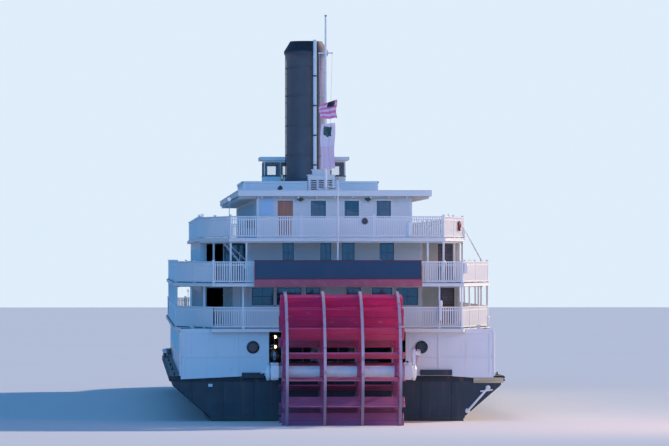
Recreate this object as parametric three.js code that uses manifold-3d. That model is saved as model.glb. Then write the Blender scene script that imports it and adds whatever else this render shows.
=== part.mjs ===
// Sternwheel river steamer, a 1:10 scale model of a ship 86.9 m long.
// Millimetres at model size, +Z up, +Y towards the bow, +X to starboard.
// Inside the ship group Y counts forward from the transom; the group then centres the length on the origin.
import * as THREE from "three";
import { mergeVertices } from "three/addons/utils/BufferGeometryUtils.js";
import Module from "manifold-3d";

const wasm = await Module();
wasm.setup();

// Levels above the flat bottom
const HULL_TOP = 435;
const MAIN_DECK = 465;
const SALOON_DECK = 710;
const OBSERVATION_DECK = 945;
const TEXAS_DECK = 1180;
const TEXAS_ROOF = 1430;
const TRUNK_ROOF = 1530;
const PILOTHOUSE_EAVES = 1678;
const DECK_THICKNESS = 15;
const ROOF_THICKNESS = 30;
const GAP = 0.3;

// Lengths and widths of the hull and its guard
const STEM_Y = 7820;
const SHOULDER_Y = 5800;
const GUARD_HALF = 865;
const STEM_HALF = 90;
const BOW_FULLNESS_Y = 7300;
const GUARD_INSET = 15;
const TOP_STRAKE = 16;
const LAST_SECTION_BACK = 8;
const BULWARK_START_Y = 5000;
const BULWARK_TOP = 495;
const BULWARK_THICKNESS = 14;

// Wheel, shaft and what carries them
const WHEEL_Y = -460;
const WHEEL_Z = 495;
const WHEEL_RADIUS = 410;
const BOARD_OUTER = 395;
const BOARD_INNER = 290;
const BOARD_HALF_LENGTH = 309;
const BOARD_THICKNESS = 8;
const BOARD_COUNT = 18;
const FRAME_XS = [-285, -95, 95, 285];
const FRAME_THICKNESS = 12;
const RIM_WIDTH = 26;
const INNER_RING_RADIUS = 225;
const INNER_RING_WIDTH = 22;
const ARM_WIDTH = 15;
const HUB_RADIUS = 64;
const HUB_THICKNESS = 20;
const ARM_SEAT = 8;
const RIM_SEAT = 6;
const SHAFT_RADIUS = 31;
const SHAFT_CLEARANCE = 0.8;
const TIMBER_INNER = 320;
const TIMBER_OUTER = 350;
const TIMBER_AFT_Y = -560;
const TIMBER_FORE_Y = 820;
const TIMBER_LOW = MAIN_DECK + GAP;
const TIMBER_HIGH = 530;
const BEARING = { half: 46, low: -40, high: 41, proud: 8 };
const CYLINDER = { radius: 26, z: 566, aft: 300, fore: 700, inboard: 12 };
const SADDLE = { aft: 330, fore: 670, overlap: 4 };
const CRANK_INNER = 364;
const CRANK_OUTER = 380;
const CRANK_THROW = 95;
const CRANK_WEB_HALF = 18;
const CRANK_WEB_END = 20;
const CRANK_BOSS_RADIUS = 44;
const CRANK_PIN = { radius: 10, length: 26, seat: 4 };

// The length of the whole ship runs from the wheel's rim to the stem
const AFT_Y = WHEEL_Y - WHEEL_RADIUS;
const SHIP_SHIFT_Y = -(AFT_Y + STEM_Y) / 2;

// Houses
const WALL = 12;
const MAIN_HOUSE = { half: 810, aft: 0, fore: 6400 };
const SALOON_HOUSE = { half: 690, aft: 900, fore: 5950, sternHalf: 455, sternAft: 300 };
const OBSERVATION_HOUSE = { half: 690, aft: 900, fore: 5650, sternHalf: 455, sternAft: 300 };
const TEXAS_HOUSE = { half: 407, aft: 400, fore: 5500 };
const ALCOVE_HALF = 354;
const ALCOVE_DEPTH = 900;
const TRUNK = { half: 400, aft: 4000, fore: 5480 };
const PILOTHOUSE = { half: 250, aft: 5040, fore: 5440 };

// Decks above the main deck: half width, stern edge, chamfer, bow
const SALOON_PLAN = { half: 840, sternHalf: 650, sternY: -50, fullY: 700, bowY: 6420, tipY: 6750 };
const OBSERVATION_PLAN = { half: 840, sternHalf: 650, sternY: -100, fullY: 700, bowY: 5900, tipY: 6500 };
const TEXAS_PLAN = { half: 715, sternHalf: 560, sternY: 0, fullY: 800, bowY: 5500, tipY: 5950 };

// Railings
const RAIL_INSET = 14;
const RAIL_THICKNESS = 8;
const RAIL_POST = 9;
const RAIL_HEIGHT = 112;
const RAIL_BAR = 7;
const RAIL_FOOT = 12;
const CORNER_POST_RADIUS = 7;
const POST_CAP = 2;
const POST_SPACING = 480;
const BOW_RAIL_STEPS = 12;
const POST_SIDES = 6;

// Plan curve of the bow at guard level: half width where the hull reaches station y
function bowPoint(t) {
  const x = (1 - t) * (1 - t) * GUARD_HALF + 2 * t * (1 - t) * GUARD_HALF + t * t * STEM_HALF;
  const y = (1 - t) * (1 - t) * SHOULDER_Y + 2 * t * (1 - t) * BOW_FULLNESS_Y + t * t * STEM_Y;
  return [x, y];
}

function guardHalfAt(y) {
  if (y <= SHOULDER_Y) return GUARD_HALF;
  const a = SHOULDER_Y - 2 * BOW_FULLNESS_Y + STEM_Y;
  const b = 2 * (BOW_FULLNESS_Y - SHOULDER_Y);
  const c = SHOULDER_Y - y;
  const t = (-b + Math.sqrt(b * b - 4 * a * c)) / (2 * a);
  return bowPoint(t)[0];
}

// Materials
const paint = (name, color, roughness = 0.55, metalness = 0.0) => {
  const material = new THREE.MeshStandardMaterial({ color, roughness, metalness });
  material.name = name;
  return material;
};
const BLACK_HULL = paint("black_hull", 0x14161d, 0.5);
const DECK_PAINT = paint("deck_paint", 0x8a8f8c, 0.8);
const WHITE_PAINT = paint("white_paint", 0xe9e7e2);
const WHEEL_RED = paint("wheel_red", 0x9c1f24, 0.6);
const FUNNEL_BLACK = paint("funnel_black", 0x17171b, 0.5);
const SIGN_NAVY = paint("sign_navy", 0x141b3a, 0.5);
const DOOR_ORANGE = paint("door_orange", 0xb4672f, 0.5);
const STEEL = paint("steel", 0x5c6064, 0.45, 0.8);
const RUDDER_STEEL = paint("rudder_steel", 0x2b2624, 0.7, 0.4);
const FLAG_STRIPED = paint("flag_striped", 0xa8353d, 0.9);
const FLAG_PLAIN = paint("flag_plain", 0x3f6b4a, 0.9);

const ship = new THREE.Group();
ship.position.y = SHIP_SHIFT_Y;

// A three.js geometry as a manifold solid, and back
function solid(geometry) {
  const bare = geometry.clone();
  bare.deleteAttribute("normal");
  bare.deleteAttribute("uv");
  const merged = mergeVertices(bare, 1e-3);
  return new wasm.Manifold(
    new wasm.Mesh({
      numProp: 3,
      vertProperties: new Float32Array(merged.attributes.position.array),
      triVerts: new Uint32Array(merged.index.array),
    }),
  );
}

function join(pieces) {
  return pieces.reduce((whole, piece) => whole.add(piece));
}

function add(name, made, material, parent = ship) {
  const mesh = made.getMesh();
  const geometry = new THREE.BufferGeometry();
  geometry.setAttribute("position", new THREE.BufferAttribute(mesh.vertProperties, 3));
  geometry.setIndex(new THREE.BufferAttribute(mesh.triVerts, 1));
  geometry.computeVertexNormals();
  const node = new THREE.Mesh(geometry, material);
  node.name = name;
  parent.add(node);
  return node;
}

// Basic solids placed by their limits
function box(x0, x1, y0, y1, z0, z1) {
  const geometry = new THREE.BoxGeometry(x1 - x0, y1 - y0, z1 - z0);
  geometry.translate((x0 + x1) / 2, (y0 + y1) / 2, (z0 + z1) / 2);
  return solid(geometry);
}

function rod(radius, from, to, segments = 16, endRadius = radius) {
  const a = new THREE.Vector3(...from);
  const b = new THREE.Vector3(...to);
  const geometry = new THREE.CylinderGeometry(endRadius, radius, a.distanceTo(b), segments);
  const turn = new THREE.Quaternion().setFromUnitVectors(
    new THREE.Vector3(0, 1, 0),
    b.clone().sub(a).normalize(),
  );
  geometry.applyQuaternion(turn);
  geometry.translate((a.x + b.x) / 2, (a.y + b.y) / 2, (a.z + b.z) / 2);
  return solid(geometry);
}

function shapeOf(points) {
  return new THREE.Shape(points.map(([u, v]) => new THREE.Vector2(u, v)));
}

function extruded(shape, depth) {
  return new THREE.ExtrudeGeometry(shape, { depth, bevelEnabled: false, curveSegments: 8 });
}

// A level slab from an outline in X and Y
function slab(points, z0, z1) {
  const geometry = extruded(shapeOf(points), z1 - z0);
  geometry.translate(0, 0, z0);
  return solid(geometry);
}

// A fore-and-aft plate from a shape in Y and Z
function uprightShape(shape, x0, x1) {
  const geometry = extruded(shape, x1 - x0);
  geometry.translate(0, 0, x0);
  const basis = new THREE.Matrix4().makeBasis(
    new THREE.Vector3(0, 1, 0),
    new THREE.Vector3(0, 0, 1),
    new THREE.Vector3(1, 0, 0),
  );
  geometry.applyMatrix4(basis);
  return solid(geometry);
}

const uprightPlate = (points, x0, x1) => uprightShape(shapeOf(points), x0, x1);

// Walls with rectangular holes: limits and holes are each low, high along the wall and low, high upwards
const CUT_PAST = 5;

function sideWall([y0, y1, z0, z1], holes, x0, x1) {
  return holes.reduce(
    (wall, [a, b, low, high]) => wall.subtract(box(x0 - CUT_PAST, x1 + CUT_PAST, a, b, low, high)),
    box(x0, x1, y0, y1, z0, z1),
  );
}

function crossWallPlate([x0, x1, z0, z1], holes, y0, y1) {
  return holes.reduce(
    (wall, [a, b, low, high]) => wall.subtract(box(a, b, y0 - CUT_PAST, y1 + CUT_PAST, low, high)),
    box(x0, x1, y0, y1, z0, z1),
  );
}

const rectangle = (u0, u1, v0, v1) => [[u0, v0], [u1, v0], [u1, v1], [u0, v1]];
const mirrored = (points) => points.map(([x, y]) => [-x, y]).reverse();
const sides = [["port", -1], ["starboard", 1]];
const across = (side, a, b) => (side > 0 ? [a, b] : [-b, -a]);

// Hull: cross-sections from stern to stem, each a ring of ten points
function hull() {
  const sections = [
    // y, bottom z, bilge z, knuckle z, bottom half, side half
    [0, 200, 222, 250, 600, 655],
    [600, 100, 140, 250, 620, 668],
    [1200, 0, 50, 250, 630, 670],
    [5400, 0, 50, 250, 630, 670],
    [6400, 0, 50, 255, 520, 590],
    [7000, 25, 75, 265, 300, 410],
    [7400, 100, 140, 285, 130, 240],
    [7700, 215, 240, 325, 40, 100],
    [STEM_Y - LAST_SECTION_BACK, 290, 305, 350, 18, 44],
  ];
  const ringSize = 10;
  const geometry = new THREE.CylinderGeometry(1, 1, 1, ringSize, sections.length - 1);
  const position = geometry.attributes.position;
  const topHalf = (y) => guardHalfAt(y) - GUARD_INSET;
  const ringPoint = (row, index) => {
    const [y, bottom, bilge, knuckle, bottomHalf, sideHalf] = sections[row];
    const half = [
      [bottomHalf, bottom],
      [sideHalf, bilge],
      [sideHalf, knuckle],
      [topHalf(y), HULL_TOP - TOP_STRAKE],
      [topHalf(y), HULL_TOP],
    ];
    const onStarboard = index < half.length;
    const [x, z] = onStarboard ? half[index] : half[ringSize - 1 - index];
    return [onStarboard ? x : -x, y, z];
  };
  for (let i = 0; i < position.count; i++) {
    const row = Math.round((position.getY(i) + 0.5) * (sections.length - 1));
    const radius = Math.hypot(position.getX(i), position.getZ(i));
    if (radius < 0.5) {
      const [y, bottom] = sections[row];
      position.setXYZ(i, 0, y, (bottom + HULL_TOP) / 2);
      continue;
    }
    const turn = Math.atan2(position.getX(i), position.getZ(i));
    const index = ((Math.round((turn / (2 * Math.PI)) * ringSize) % ringSize) + ringSize) % ringSize;
    position.setXYZ(i, ...ringPoint(row, index));
  }
  let made = solid(geometry);
  if (made.volume() < 0) {
    geometry.setIndex([...geometry.index.array].reverse());
    made = solid(geometry);
  }
  return made;
}

add("hull", hull(), BLACK_HULL);

// Main deck with its guard, and the bulwark round the foredeck
const BOW_STEPS = 10;
const bowCurve = (inset) => {
  const points = [];
  for (let i = 0; i <= BOW_STEPS; i++) {
    const [x, y] = bowPoint(i / BOW_STEPS);
    points.push([x - inset, y - inset * (i / BOW_STEPS)]);
  }
  return points;
};

const starboardBow = bowCurve(0);
const mainDeckOutline = [[-GUARD_HALF, 0], [GUARD_HALF, 0], ...starboardBow, ...mirrored(starboardBow)];
add("main_deck", slab(mainDeckOutline, HULL_TOP + GAP, MAIN_DECK), DECK_PAINT);

const bulwarkOuter = [[GUARD_HALF, BULWARK_START_Y], ...bowCurve(0)];
const bulwarkInner = [[GUARD_HALF - BULWARK_THICKNESS, BULWARK_START_Y], ...bowCurve(BULWARK_THICKNESS)];
const bulwarkOutline = [
  ...bulwarkOuter,
  ...mirrored(bulwarkOuter),
  ...[...mirrored(bulwarkInner)].reverse(),
  ...[...bulwarkInner].reverse(),
];
add("bow_bulwark", slab(bulwarkOutline, MAIN_DECK + GAP, BULWARK_TOP), BLACK_HULL);

// Decks above: an outline with cut stern corners and a rounded bow
function deckOutline({ half, sternHalf, sternY, fullY, bowY, tipY }, inset = 0) {
  const bow = new THREE.EllipseCurve(0, bowY, half - inset, tipY - bowY - inset, 0, Math.PI);
  const round = bow.getPoints(16).map((p) => [p.x, p.y]);
  return [
    [-sternHalf, sternY + inset],
    [sternHalf, sternY + inset],
    [half - inset, fullY],
    ...round,
    [-half + inset, fullY],
  ];
}

const deckSlab = (plan, top) => slab(deckOutline(plan), top - DECK_THICKNESS, top);

function deck(name, plan, top) {
  add(name, deckSlab(plan, top), DECK_PAINT);
}

// A thinner plate of the saloon deck covers the main house where the deck's stern corners are cut
const CORNER_PLATE = { inner: 600, thickness: 8 };
const plateLow = SALOON_DECK - DECK_THICKNESS;
const cornerPlates = sides.map(([, sign]) => {
  const [x0, x1] = across(sign, CORNER_PLATE.inner, MAIN_HOUSE.half);
  return box(x0, x1, MAIN_HOUSE.aft, SALOON_PLAN.fullY, plateLow, plateLow + CORNER_PLATE.thickness);
});
add("saloon_deck", join([deckSlab(SALOON_PLAN, SALOON_DECK), ...cornerPlates]), DECK_PAINT);
deck("observation_deck", OBSERVATION_PLAN, OBSERVATION_DECK);
deck("texas_deck", TEXAS_PLAN, TEXAS_DECK);

// One straight run of a railing: a foot, a top bar and inner posts.
// Where there is a deck above, the posts reach it.
function railRun([xa, ya], [xb, yb], floor, ceiling, roofed) {
  const length = Math.hypot(xb - xa, yb - ya);
  const bays = Math.max(1, Math.round(length / POST_SPACING));
  const pitch = length / bays;
  const halfThick = RAIL_THICKNESS / 2;
  const top = floor + RAIL_HEIGHT;
  let run = box(0, length, -halfThick, halfThick, floor, roofed ? ceiling : top);
  for (let bay = 0; bay < bays; bay++) {
    const left = bay === 0 ? -CUT_PAST : bay * pitch + RAIL_POST / 2;
    const right = bay === bays - 1 ? length + CUT_PAST : (bay + 1) * pitch - RAIL_POST / 2;
    run = run.subtract(box(left, right, -CUT_PAST, CUT_PAST, floor + RAIL_FOOT, top - RAIL_BAR));
    if (roofed) run = run.subtract(box(left, right, -CUT_PAST, CUT_PAST, top, ceiling + CUT_PAST));
  }
  const turn = (Math.atan2(yb - ya, xb - xa) * 180) / Math.PI;
  return run.rotate([0, 0, turn]).translate([xa, ya, 0]);
}

function railPath(points, floor, ceiling, roofed) {
  const pieces = points.map(([x, y]) => {
    const head = roofed ? ceiling : floor + RAIL_HEIGHT + POST_CAP;
    return rod(CORNER_POST_RADIUS, [x, y, floor], [x, y, head], POST_SIDES);
  });
  for (let i = 1; i < points.length; i++) {
    pieces.push(railRun(points[i - 1], points[i], floor, ceiling, roofed));
  }
  return join(pieces);
}

// Four railings round a deck; posts reach up only where the deck above stands over them
function railings(prefix, plan, top, above) {
  const floor = top + GAP;
  const ceiling = above ? above.top - DECK_THICKNESS - GAP : 0;
  const line = plan.half - RAIL_INSET;
  const clear = RAIL_POST;
  const sternLine = plan.sternY + RAIL_INSET;
  const foreEnd = plan.bowY - clear;
  sides.forEach(([side, sign]) => {
    const x = sign * line;
    const roofEnd = above ? Math.min(above.plan.bowY, foreEnd) : plan.fullY + clear;
    const pieces = [];
    if (above) pieces.push(railPath([[x, plan.fullY + clear], [x, roofEnd]], floor, ceiling, true));
    if (roofEnd < foreEnd) pieces.push(railPath([[x, roofEnd], [x, foreEnd]], floor, ceiling, false));
    add(`${prefix}_rail_${side}`, join(pieces), WHITE_PAINT);
  });
  const corner = plan.sternHalf - RAIL_INSET / 2;
  const aft = [
    [-line, plan.fullY - clear],
    [-corner, sternLine],
    [corner, sternLine],
    [line, plan.fullY - clear],
  ];
  add(`${prefix}_rail_aft`, railPath(aft, floor, ceiling, Boolean(above)), WHITE_PAINT);
  const bowDepth = plan.tipY - plan.bowY - RAIL_INSET - clear;
  const bow = new THREE.EllipseCurve(0, plan.bowY + clear, line, bowDepth, 0, Math.PI);
  const fore = bow.getPoints(BOW_RAIL_STEPS).map((p) => [p.x, p.y]);
  add(`${prefix}_rail_fore`, railPath(fore, floor, ceiling, false), WHITE_PAINT);
}

railings("saloon", SALOON_PLAN, SALOON_DECK, { plan: OBSERVATION_PLAN, top: OBSERVATION_DECK });
railings("observation", OBSERVATION_PLAN, OBSERVATION_DECK, null);
railings("texas", TEXAS_PLAN, TEXAS_DECK, null);

// Posts that carry the texas deck's stern, and the header that joins them under its edge
const POST_INSET = 16;
const POST_HEADER = 10;
const STERN_POST_X = 470;
const CHAMFER_POST_SHARE = 0.45;
const postFloor = OBSERVATION_DECK + GAP;
const postCeiling = TEXAS_DECK - DECK_THICKNESS - GAP;
const postCorner = [TEXAS_PLAN.sternHalf - POST_INSET / 2, TEXAS_PLAN.sternY + POST_INSET];
const postShoulder = [TEXAS_PLAN.half - POST_INSET, TEXAS_PLAN.fullY];
const chamferPost = [0, 1].map((axis) => {
  return postCorner[axis] + (postShoulder[axis] - postCorner[axis]) * CHAMFER_POST_SHARE;
});

function header([xa, ya], [xb, yb]) {
  const length = Math.hypot(xb - xa, yb - ya);
  const turn = (Math.atan2(yb - ya, xb - xa) * 180) / Math.PI;
  const halfThick = RAIL_THICKNESS / 2;
  const beam = box(0, length, -halfThick, halfThick, postCeiling - POST_HEADER, postCeiling);
  return beam.rotate([0, 0, turn]).translate([xa, ya, 0]);
}

const postPoints = [[STERN_POST_X, postCorner[1]], postCorner, chamferPost, postShoulder];
const headerPoints = [...mirrored([postCorner, postShoulder]), postCorner, postShoulder];
const postPieces = [...postPoints, ...mirrored(postPoints)].map(([x, y]) => {
  return rod(CORNER_POST_RADIUS, [x, y, postFloor], [x, y, postCeiling], POST_SIDES);
});
for (let i = 1; i < headerPoints.length; i++) {
  postPieces.push(header(headerPoints[i - 1], headerPoints[i]));
}
add("texas_deck_posts", join(postPieces), WHITE_PAINT);

// Windows along a side wall, and a side wall with them cut
function windowRow({ from, to, pitch, width, low, high }, skip = []) {
  const holes = [];
  for (let y = from; y <= to; y += pitch) {
    const blocked = skip.some(([a, b]) => y + width / 2 > a && y - width / 2 < b);
    if (!blocked) holes.push([y - width / 2, y + width / 2, low, high]);
  }
  return holes;
}

const clearWall = (low, high) => [low + GAP, high - DECK_THICKNESS - GAP];

// Like windows across a wall, by their middles
const windowsAcross = (middles, half, low, high) => middles.map((x) => [x - half, x + half, low, high]);

// Main house, with a boarding door in each side and the alcove for the wheel's timbers
const BOARDING_DOOR = { y: 3300, width: 110, low: MAIN_DECK + 12, high: MAIN_DECK + 205 };
const DOOR_THICKNESS = 7;
const DOOR_CLEARANCE = 2;
const DOOR_MARGIN = 30;
const DOOR_SETBACK = 0.5;
const MAIN_SILL = MAIN_DECK + 105;
const MAIN_HEAD = MAIN_DECK + 185;
const mainWindows = { from: 1260, to: 6200, pitch: 340, width: 90, low: MAIN_SILL, high: MAIN_HEAD };
const doorSpan = [BOARDING_DOOR.y - BOARDING_DOOR.width / 2, BOARDING_DOOR.y + BOARDING_DOOR.width / 2];
const [mainLow, mainHigh] = clearWall(MAIN_DECK, SALOON_DECK);
sides.forEach(([side, sign]) => {
  const holes = windowRow(mainWindows, [[doorSpan[0] - DOOR_MARGIN, doorSpan[1] + DOOR_MARGIN]]);
  holes.push([...doorSpan, BOARDING_DOOR.low, BOARDING_DOOR.high]);
  const [x0, x1] = across(sign, MAIN_HOUSE.half - WALL, MAIN_HOUSE.half);
  const limits = [MAIN_HOUSE.aft, MAIN_HOUSE.fore, mainLow, mainHigh];
  add(`main_house_${side}`, sideWall(limits, holes, x0, x1), WHITE_PAINT);
});

const mainInner = MAIN_HOUSE.half - WALL - GAP;
const foreDoors = windowsAcross([0], 70, MAIN_DECK + 12, MAIN_DECK + 200);
const foreWindows = windowsAcross([-560, -330, 330, 560], 50, MAIN_SILL, MAIN_HEAD);
add(
  "main_house_fore",
  crossWallPlate(
    [-mainInner, mainInner, mainLow, mainHigh],
    [...foreDoors, ...foreWindows],
    MAIN_HOUSE.fore - WALL,
    MAIN_HOUSE.fore,
  ),
  WHITE_PAINT,
);

// Stern walls either side of the alcove, each with a round porthole, and the alcove's walls and bulkhead
const PORTHOLE = { x: 437, z: 613, radius: 26, reach: 50, segments: 20 };
const sternWalls = sides.map(([, sign]) => {
  const [x0, x1] = across(sign, ALCOVE_HALF, mainInner);
  const [a0, a1] = across(sign, ALCOVE_HALF, ALCOVE_HALF + WALL);
  const { x, z, radius, reach, segments } = PORTHOLE;
  return box(x0, x1, MAIN_HOUSE.aft, MAIN_HOUSE.aft + WALL, mainLow, mainHigh)
    .subtract(rod(radius, [sign * x, -reach, z], [sign * x, reach, z], segments))
    .add(box(a0, a1, MAIN_HOUSE.aft, ALCOVE_DEPTH, mainLow, mainHigh));
});
const bulkheadHalf = ALCOVE_HALF + WALL;
const bulkhead = box(-bulkheadHalf, bulkheadHalf, ALCOVE_DEPTH - WALL, ALCOVE_DEPTH, mainLow, mainHigh);
add("stern_walls", join([...sternWalls, bulkhead]), WHITE_PAINT);

// Saloon, observation and texas houses
const HOUSE_SILL = 75;
const HOUSE_HEAD = 180;
const TEXAS_SILL = 95;
const TEXAS_HEAD = 190;

// A row of side windows: first and last middle, spacing, width, and sill and head above the deck
const rowOn = (floor, from, to, pitch, width, sill, head) => {
  return { from, to, pitch, width, low: floor + sill, high: floor + head };
};
const saloonWindows = rowOn(SALOON_DECK, 1100, 5800, 300, 120, HOUSE_SILL, HOUSE_HEAD);
const observationWindows = rowOn(OBSERVATION_DECK, 1100, 5500, 300, 120, HOUSE_SILL, HOUSE_HEAD);
const texasWindows = rowOn(TEXAS_DECK, 620, 5350, 280, 90, TEXAS_SILL, TEXAS_HEAD);

function houseSides(prefix, house, low, high, windows) {
  sides.forEach(([side, sign]) => {
    const [x0, x1] = across(sign, house.half - WALL, house.half);
    const limits = [house.aft, house.fore, low, high];
    add(`${prefix}_wall_${side}`, sideWall(limits, windowRow(windows), x0, x1), WHITE_PAINT);
  });
}

function crossWall(name, house, y0, low, high, holes) {
  const half = house.half - WALL - GAP;
  add(name, crossWallPlate([-half, half, low, high], holes, y0, y0 + WALL), WHITE_PAINT);
}

// A stepped after wall: a narrow stern part with windows, and shoulders with an open doorway in each
const SHOULDER_DOOR = { left: 575, right: 664, rise: 12, head: 205 };

function steppedAft(name, house, floor, low, high, sternHoles) {
  const { sternHalf, sternAft, aft, half } = house;
  const shoulderEnd = half - WALL - GAP;
  const sternLimits = [-sternHalf, sternHalf, low, high];
  const pieces = [crossWallPlate(sternLimits, sternHoles, sternAft, sternAft + WALL)];
  sides.forEach(([, sign]) => {
    const [s0, s1] = across(sign, sternHalf - WALL, sternHalf);
    pieces.push(box(s0, s1, sternAft, aft + WALL, low, high));
    const [x0, x1] = across(sign, sternHalf - WALL, shoulderEnd);
    const [d0, d1] = across(sign, SHOULDER_DOOR.left, SHOULDER_DOOR.right);
    const door = [d0, d1, floor + SHOULDER_DOOR.rise, floor + SHOULDER_DOOR.head];
    pieces.push(crossWallPlate([x0, x1, low, high], [door], aft, aft + WALL));
  });
  add(name, join(pieces), WHITE_PAINT);
}

const [saloonLow, saloonHigh] = clearWall(SALOON_DECK, OBSERVATION_DECK);
houseSides("saloon", SALOON_HOUSE, saloonLow, saloonHigh, saloonWindows);
const saloonSternWindows = [
  // left, right, low, high
  [-436, -322, 828, 920],
  [-306, -176, 828, 920],
  [-152, -78, 828, 920],
  [60, 135, 828, 920],
  [193, 300, 828, 920],
  [322, 436, 828, 920],
];
steppedAft("saloon_wall_aft", SALOON_HOUSE, SALOON_DECK, saloonLow, saloonHigh, saloonSternWindows);
const houseFore = (floor) => [
  ...windowsAcross([-440, -220, 220, 440], 60, floor + HOUSE_SILL, floor + HOUSE_HEAD),
  ...windowsAcross([0], 55, floor + 12, floor + 200),
];
const saloonForeY = SALOON_HOUSE.fore - WALL;
crossWall("saloon_wall_fore", SALOON_HOUSE, saloonForeY, saloonLow, saloonHigh, houseFore(SALOON_DECK));

const [observationLow, observationHigh] = clearWall(OBSERVATION_DECK, TEXAS_DECK);
houseSides("observation", OBSERVATION_HOUSE, observationLow, observationHigh, observationWindows);
const observationSternWindows = [
  // left, right, low, high
  [-275, -216, 1050, 1155],
  [-77, -20, 1050, 1155],
  [35, 102, 1050, 1155],
  [234, 309, 1050, 1155],
];
steppedAft(
  "observation_wall_aft",
  OBSERVATION_HOUSE,
  OBSERVATION_DECK,
  observationLow,
  observationHigh,
  observationSternWindows,
);
crossWall(
  "observation_wall_fore",
  OBSERVATION_HOUSE,
  OBSERVATION_HOUSE.fore - WALL,
  observationLow,
  observationHigh,
  houseFore(OBSERVATION_DECK),
);

const texasLow = TEXAS_DECK + GAP;
const texasHigh = TEXAS_ROOF - ROOF_THICKNESS - GAP;
const TEXAS_DOOR = { left: -298, right: -218, low: TEXAS_DECK + 10, high: 1376 };
houseSides("texas", TEXAS_HOUSE, texasLow, texasHigh, texasWindows);
const texasAft = [
  // left, right, low, high
  [TEXAS_DOOR.left, TEXAS_DOOR.right, TEXAS_DOOR.low, TEXAS_DOOR.high],
  [-124, -44, 1285, 1376],
  [54, 130, 1285, 1376],
  [223, 298, 1285, 1376],
];
crossWall("texas_wall_aft", TEXAS_HOUSE, TEXAS_HOUSE.aft, texasLow, texasHigh, texasAft);
const texasFore = windowsAcross([-270, 270], 60, TEXAS_DECK + TEXAS_SILL, TEXAS_DECK + TEXAS_HEAD);
crossWall("texas_wall_fore", TEXAS_HOUSE, TEXAS_HOUSE.fore - WALL, texasLow, texasHigh, texasFore);

// Texas roof, trunk, vent house and pilothouse
const ROOF_HALF = 507;
const ROOF_AFT = 345;
const ROOF_FORE = 5640;
const roof = rectangle(-ROOF_HALF, ROOF_HALF, ROOF_AFT, ROOF_FORE);
add("texas_roof", slab(roof, TEXAS_ROOF - ROOF_THICKNESS, TEXAS_ROOF), WHITE_PAINT);

const trunkOutline = rectangle(-TRUNK.half, TRUNK.half, TRUNK.aft, TRUNK.fore);
add("trunk", slab(trunkOutline, TEXAS_ROOF + GAP, TRUNK_ROOF), WHITE_PAINT);

const VENT_Y = 2280;
const ventTiers = [
  // half width, half length, low, high
  [74, 70, TEXAS_ROOF + GAP, 1540],
  [50, 48, 1539, 1570],
];
const ventHouse = ventTiers.map(([half, along, low, high]) => {
  return box(-half, half, VENT_Y - along, VENT_Y + along, low, high);
});
add("vent_house", join(ventHouse), WHITE_PAINT);

const PILOTHOUSE_SILL = 52;
const PILOTHOUSE_LINTEL = 14;
const MULLION_HALF = 7;
const CROSS_PANES = 5;
const SIDE_PANES = 4;

// The limits of each pane between two corner posts, with a mullion between neighbours
function panes(from, to, count) {
  const pitch = (to - from) / count;
  return Array.from({ length: count }, (_, pane) => [
    from + pane * pitch + (pane === 0 ? WALL : MULLION_HALF),
    from + (pane + 1) * pitch - (pane === count - 1 ? WALL : MULLION_HALF),
  ]);
}

function pilothouse() {
  const { half, aft, fore } = PILOTHOUSE;
  const low = TRUNK_ROOF + GAP;
  const high = PILOTHOUSE_EAVES;
  const sill = TRUNK_ROOF + PILOTHOUSE_SILL;
  const head = high - PILOTHOUSE_LINTEL;
  const inside = box(-half + WALL, half - WALL, aft + WALL, fore - WALL, low - CUT_PAST, high + CUT_PAST);
  let made = box(-half, half, aft, fore, low, high).subtract(inside);
  panes(-half, half, CROSS_PANES).forEach(([left, right]) => {
    made = made.subtract(box(left, right, aft - CUT_PAST, fore + CUT_PAST, sill, head));
  });
  panes(aft, fore, SIDE_PANES).forEach(([from, to]) => {
    made = made.subtract(box(-half - CUT_PAST, half + CUT_PAST, from, to, sill, head));
  });
  return made;
}

add("pilothouse", pilothouse(), WHITE_PAINT);

const ROOF_OVERHANG = 22;
const pilothouseRoof = rectangle(
  -PILOTHOUSE.half - ROOF_OVERHANG,
  PILOTHOUSE.half + ROOF_OVERHANG,
  PILOTHOUSE.aft - ROOF_OVERHANG,
  PILOTHOUSE.fore + ROOF_OVERHANG,
);
add("pilothouse_roof", slab(pilothouseRoof, PILOTHOUSE_EAVES + GAP, PILOTHOUSE_EAVES + 18), WHITE_PAINT);

// Funnel with its collar, and the steam pipe up its after side
const FUNNEL_Y = 4750;
const FUNNEL_RADIUS = 122;
const funnelProfile = [
  // radius, height
  [0, TRUNK_ROOF + GAP],
  [132, TRUNK_ROOF + GAP],
  [132, 1552],
  [FUNNEL_RADIUS, 1560],
  [FUNNEL_RADIUS, 2290],
  [135, 2318],
  [135, 2336],
  [98, 2395],
  [90, 2395],
  [90, 2240],
  [0, 2240],
];
const lathe = new THREE.LatheGeometry(funnelProfile.map(([r, z]) => new THREE.Vector2(r, z)), 28);
lathe.rotateX(Math.PI / 2);
lathe.translate(0, FUNNEL_Y, 0);
add("funnel", solid(lathe), FUNNEL_BLACK);

const PIPE_X = 48;
const PIPE_RADIUS = 10;
const PIPE_STANDOFF = 20;
const PIPE_TOP = 2400;
const pipeY = FUNNEL_Y - FUNNEL_RADIUS - PIPE_STANDOFF;
const pipeFoot = TRUNK_ROOF + GAP;
add("steam_pipe", rod(PIPE_RADIUS, [PIPE_X, pipeY, pipeFoot], [PIPE_X, pipeY, PIPE_TOP], 12), WHITE_PAINT);

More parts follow.
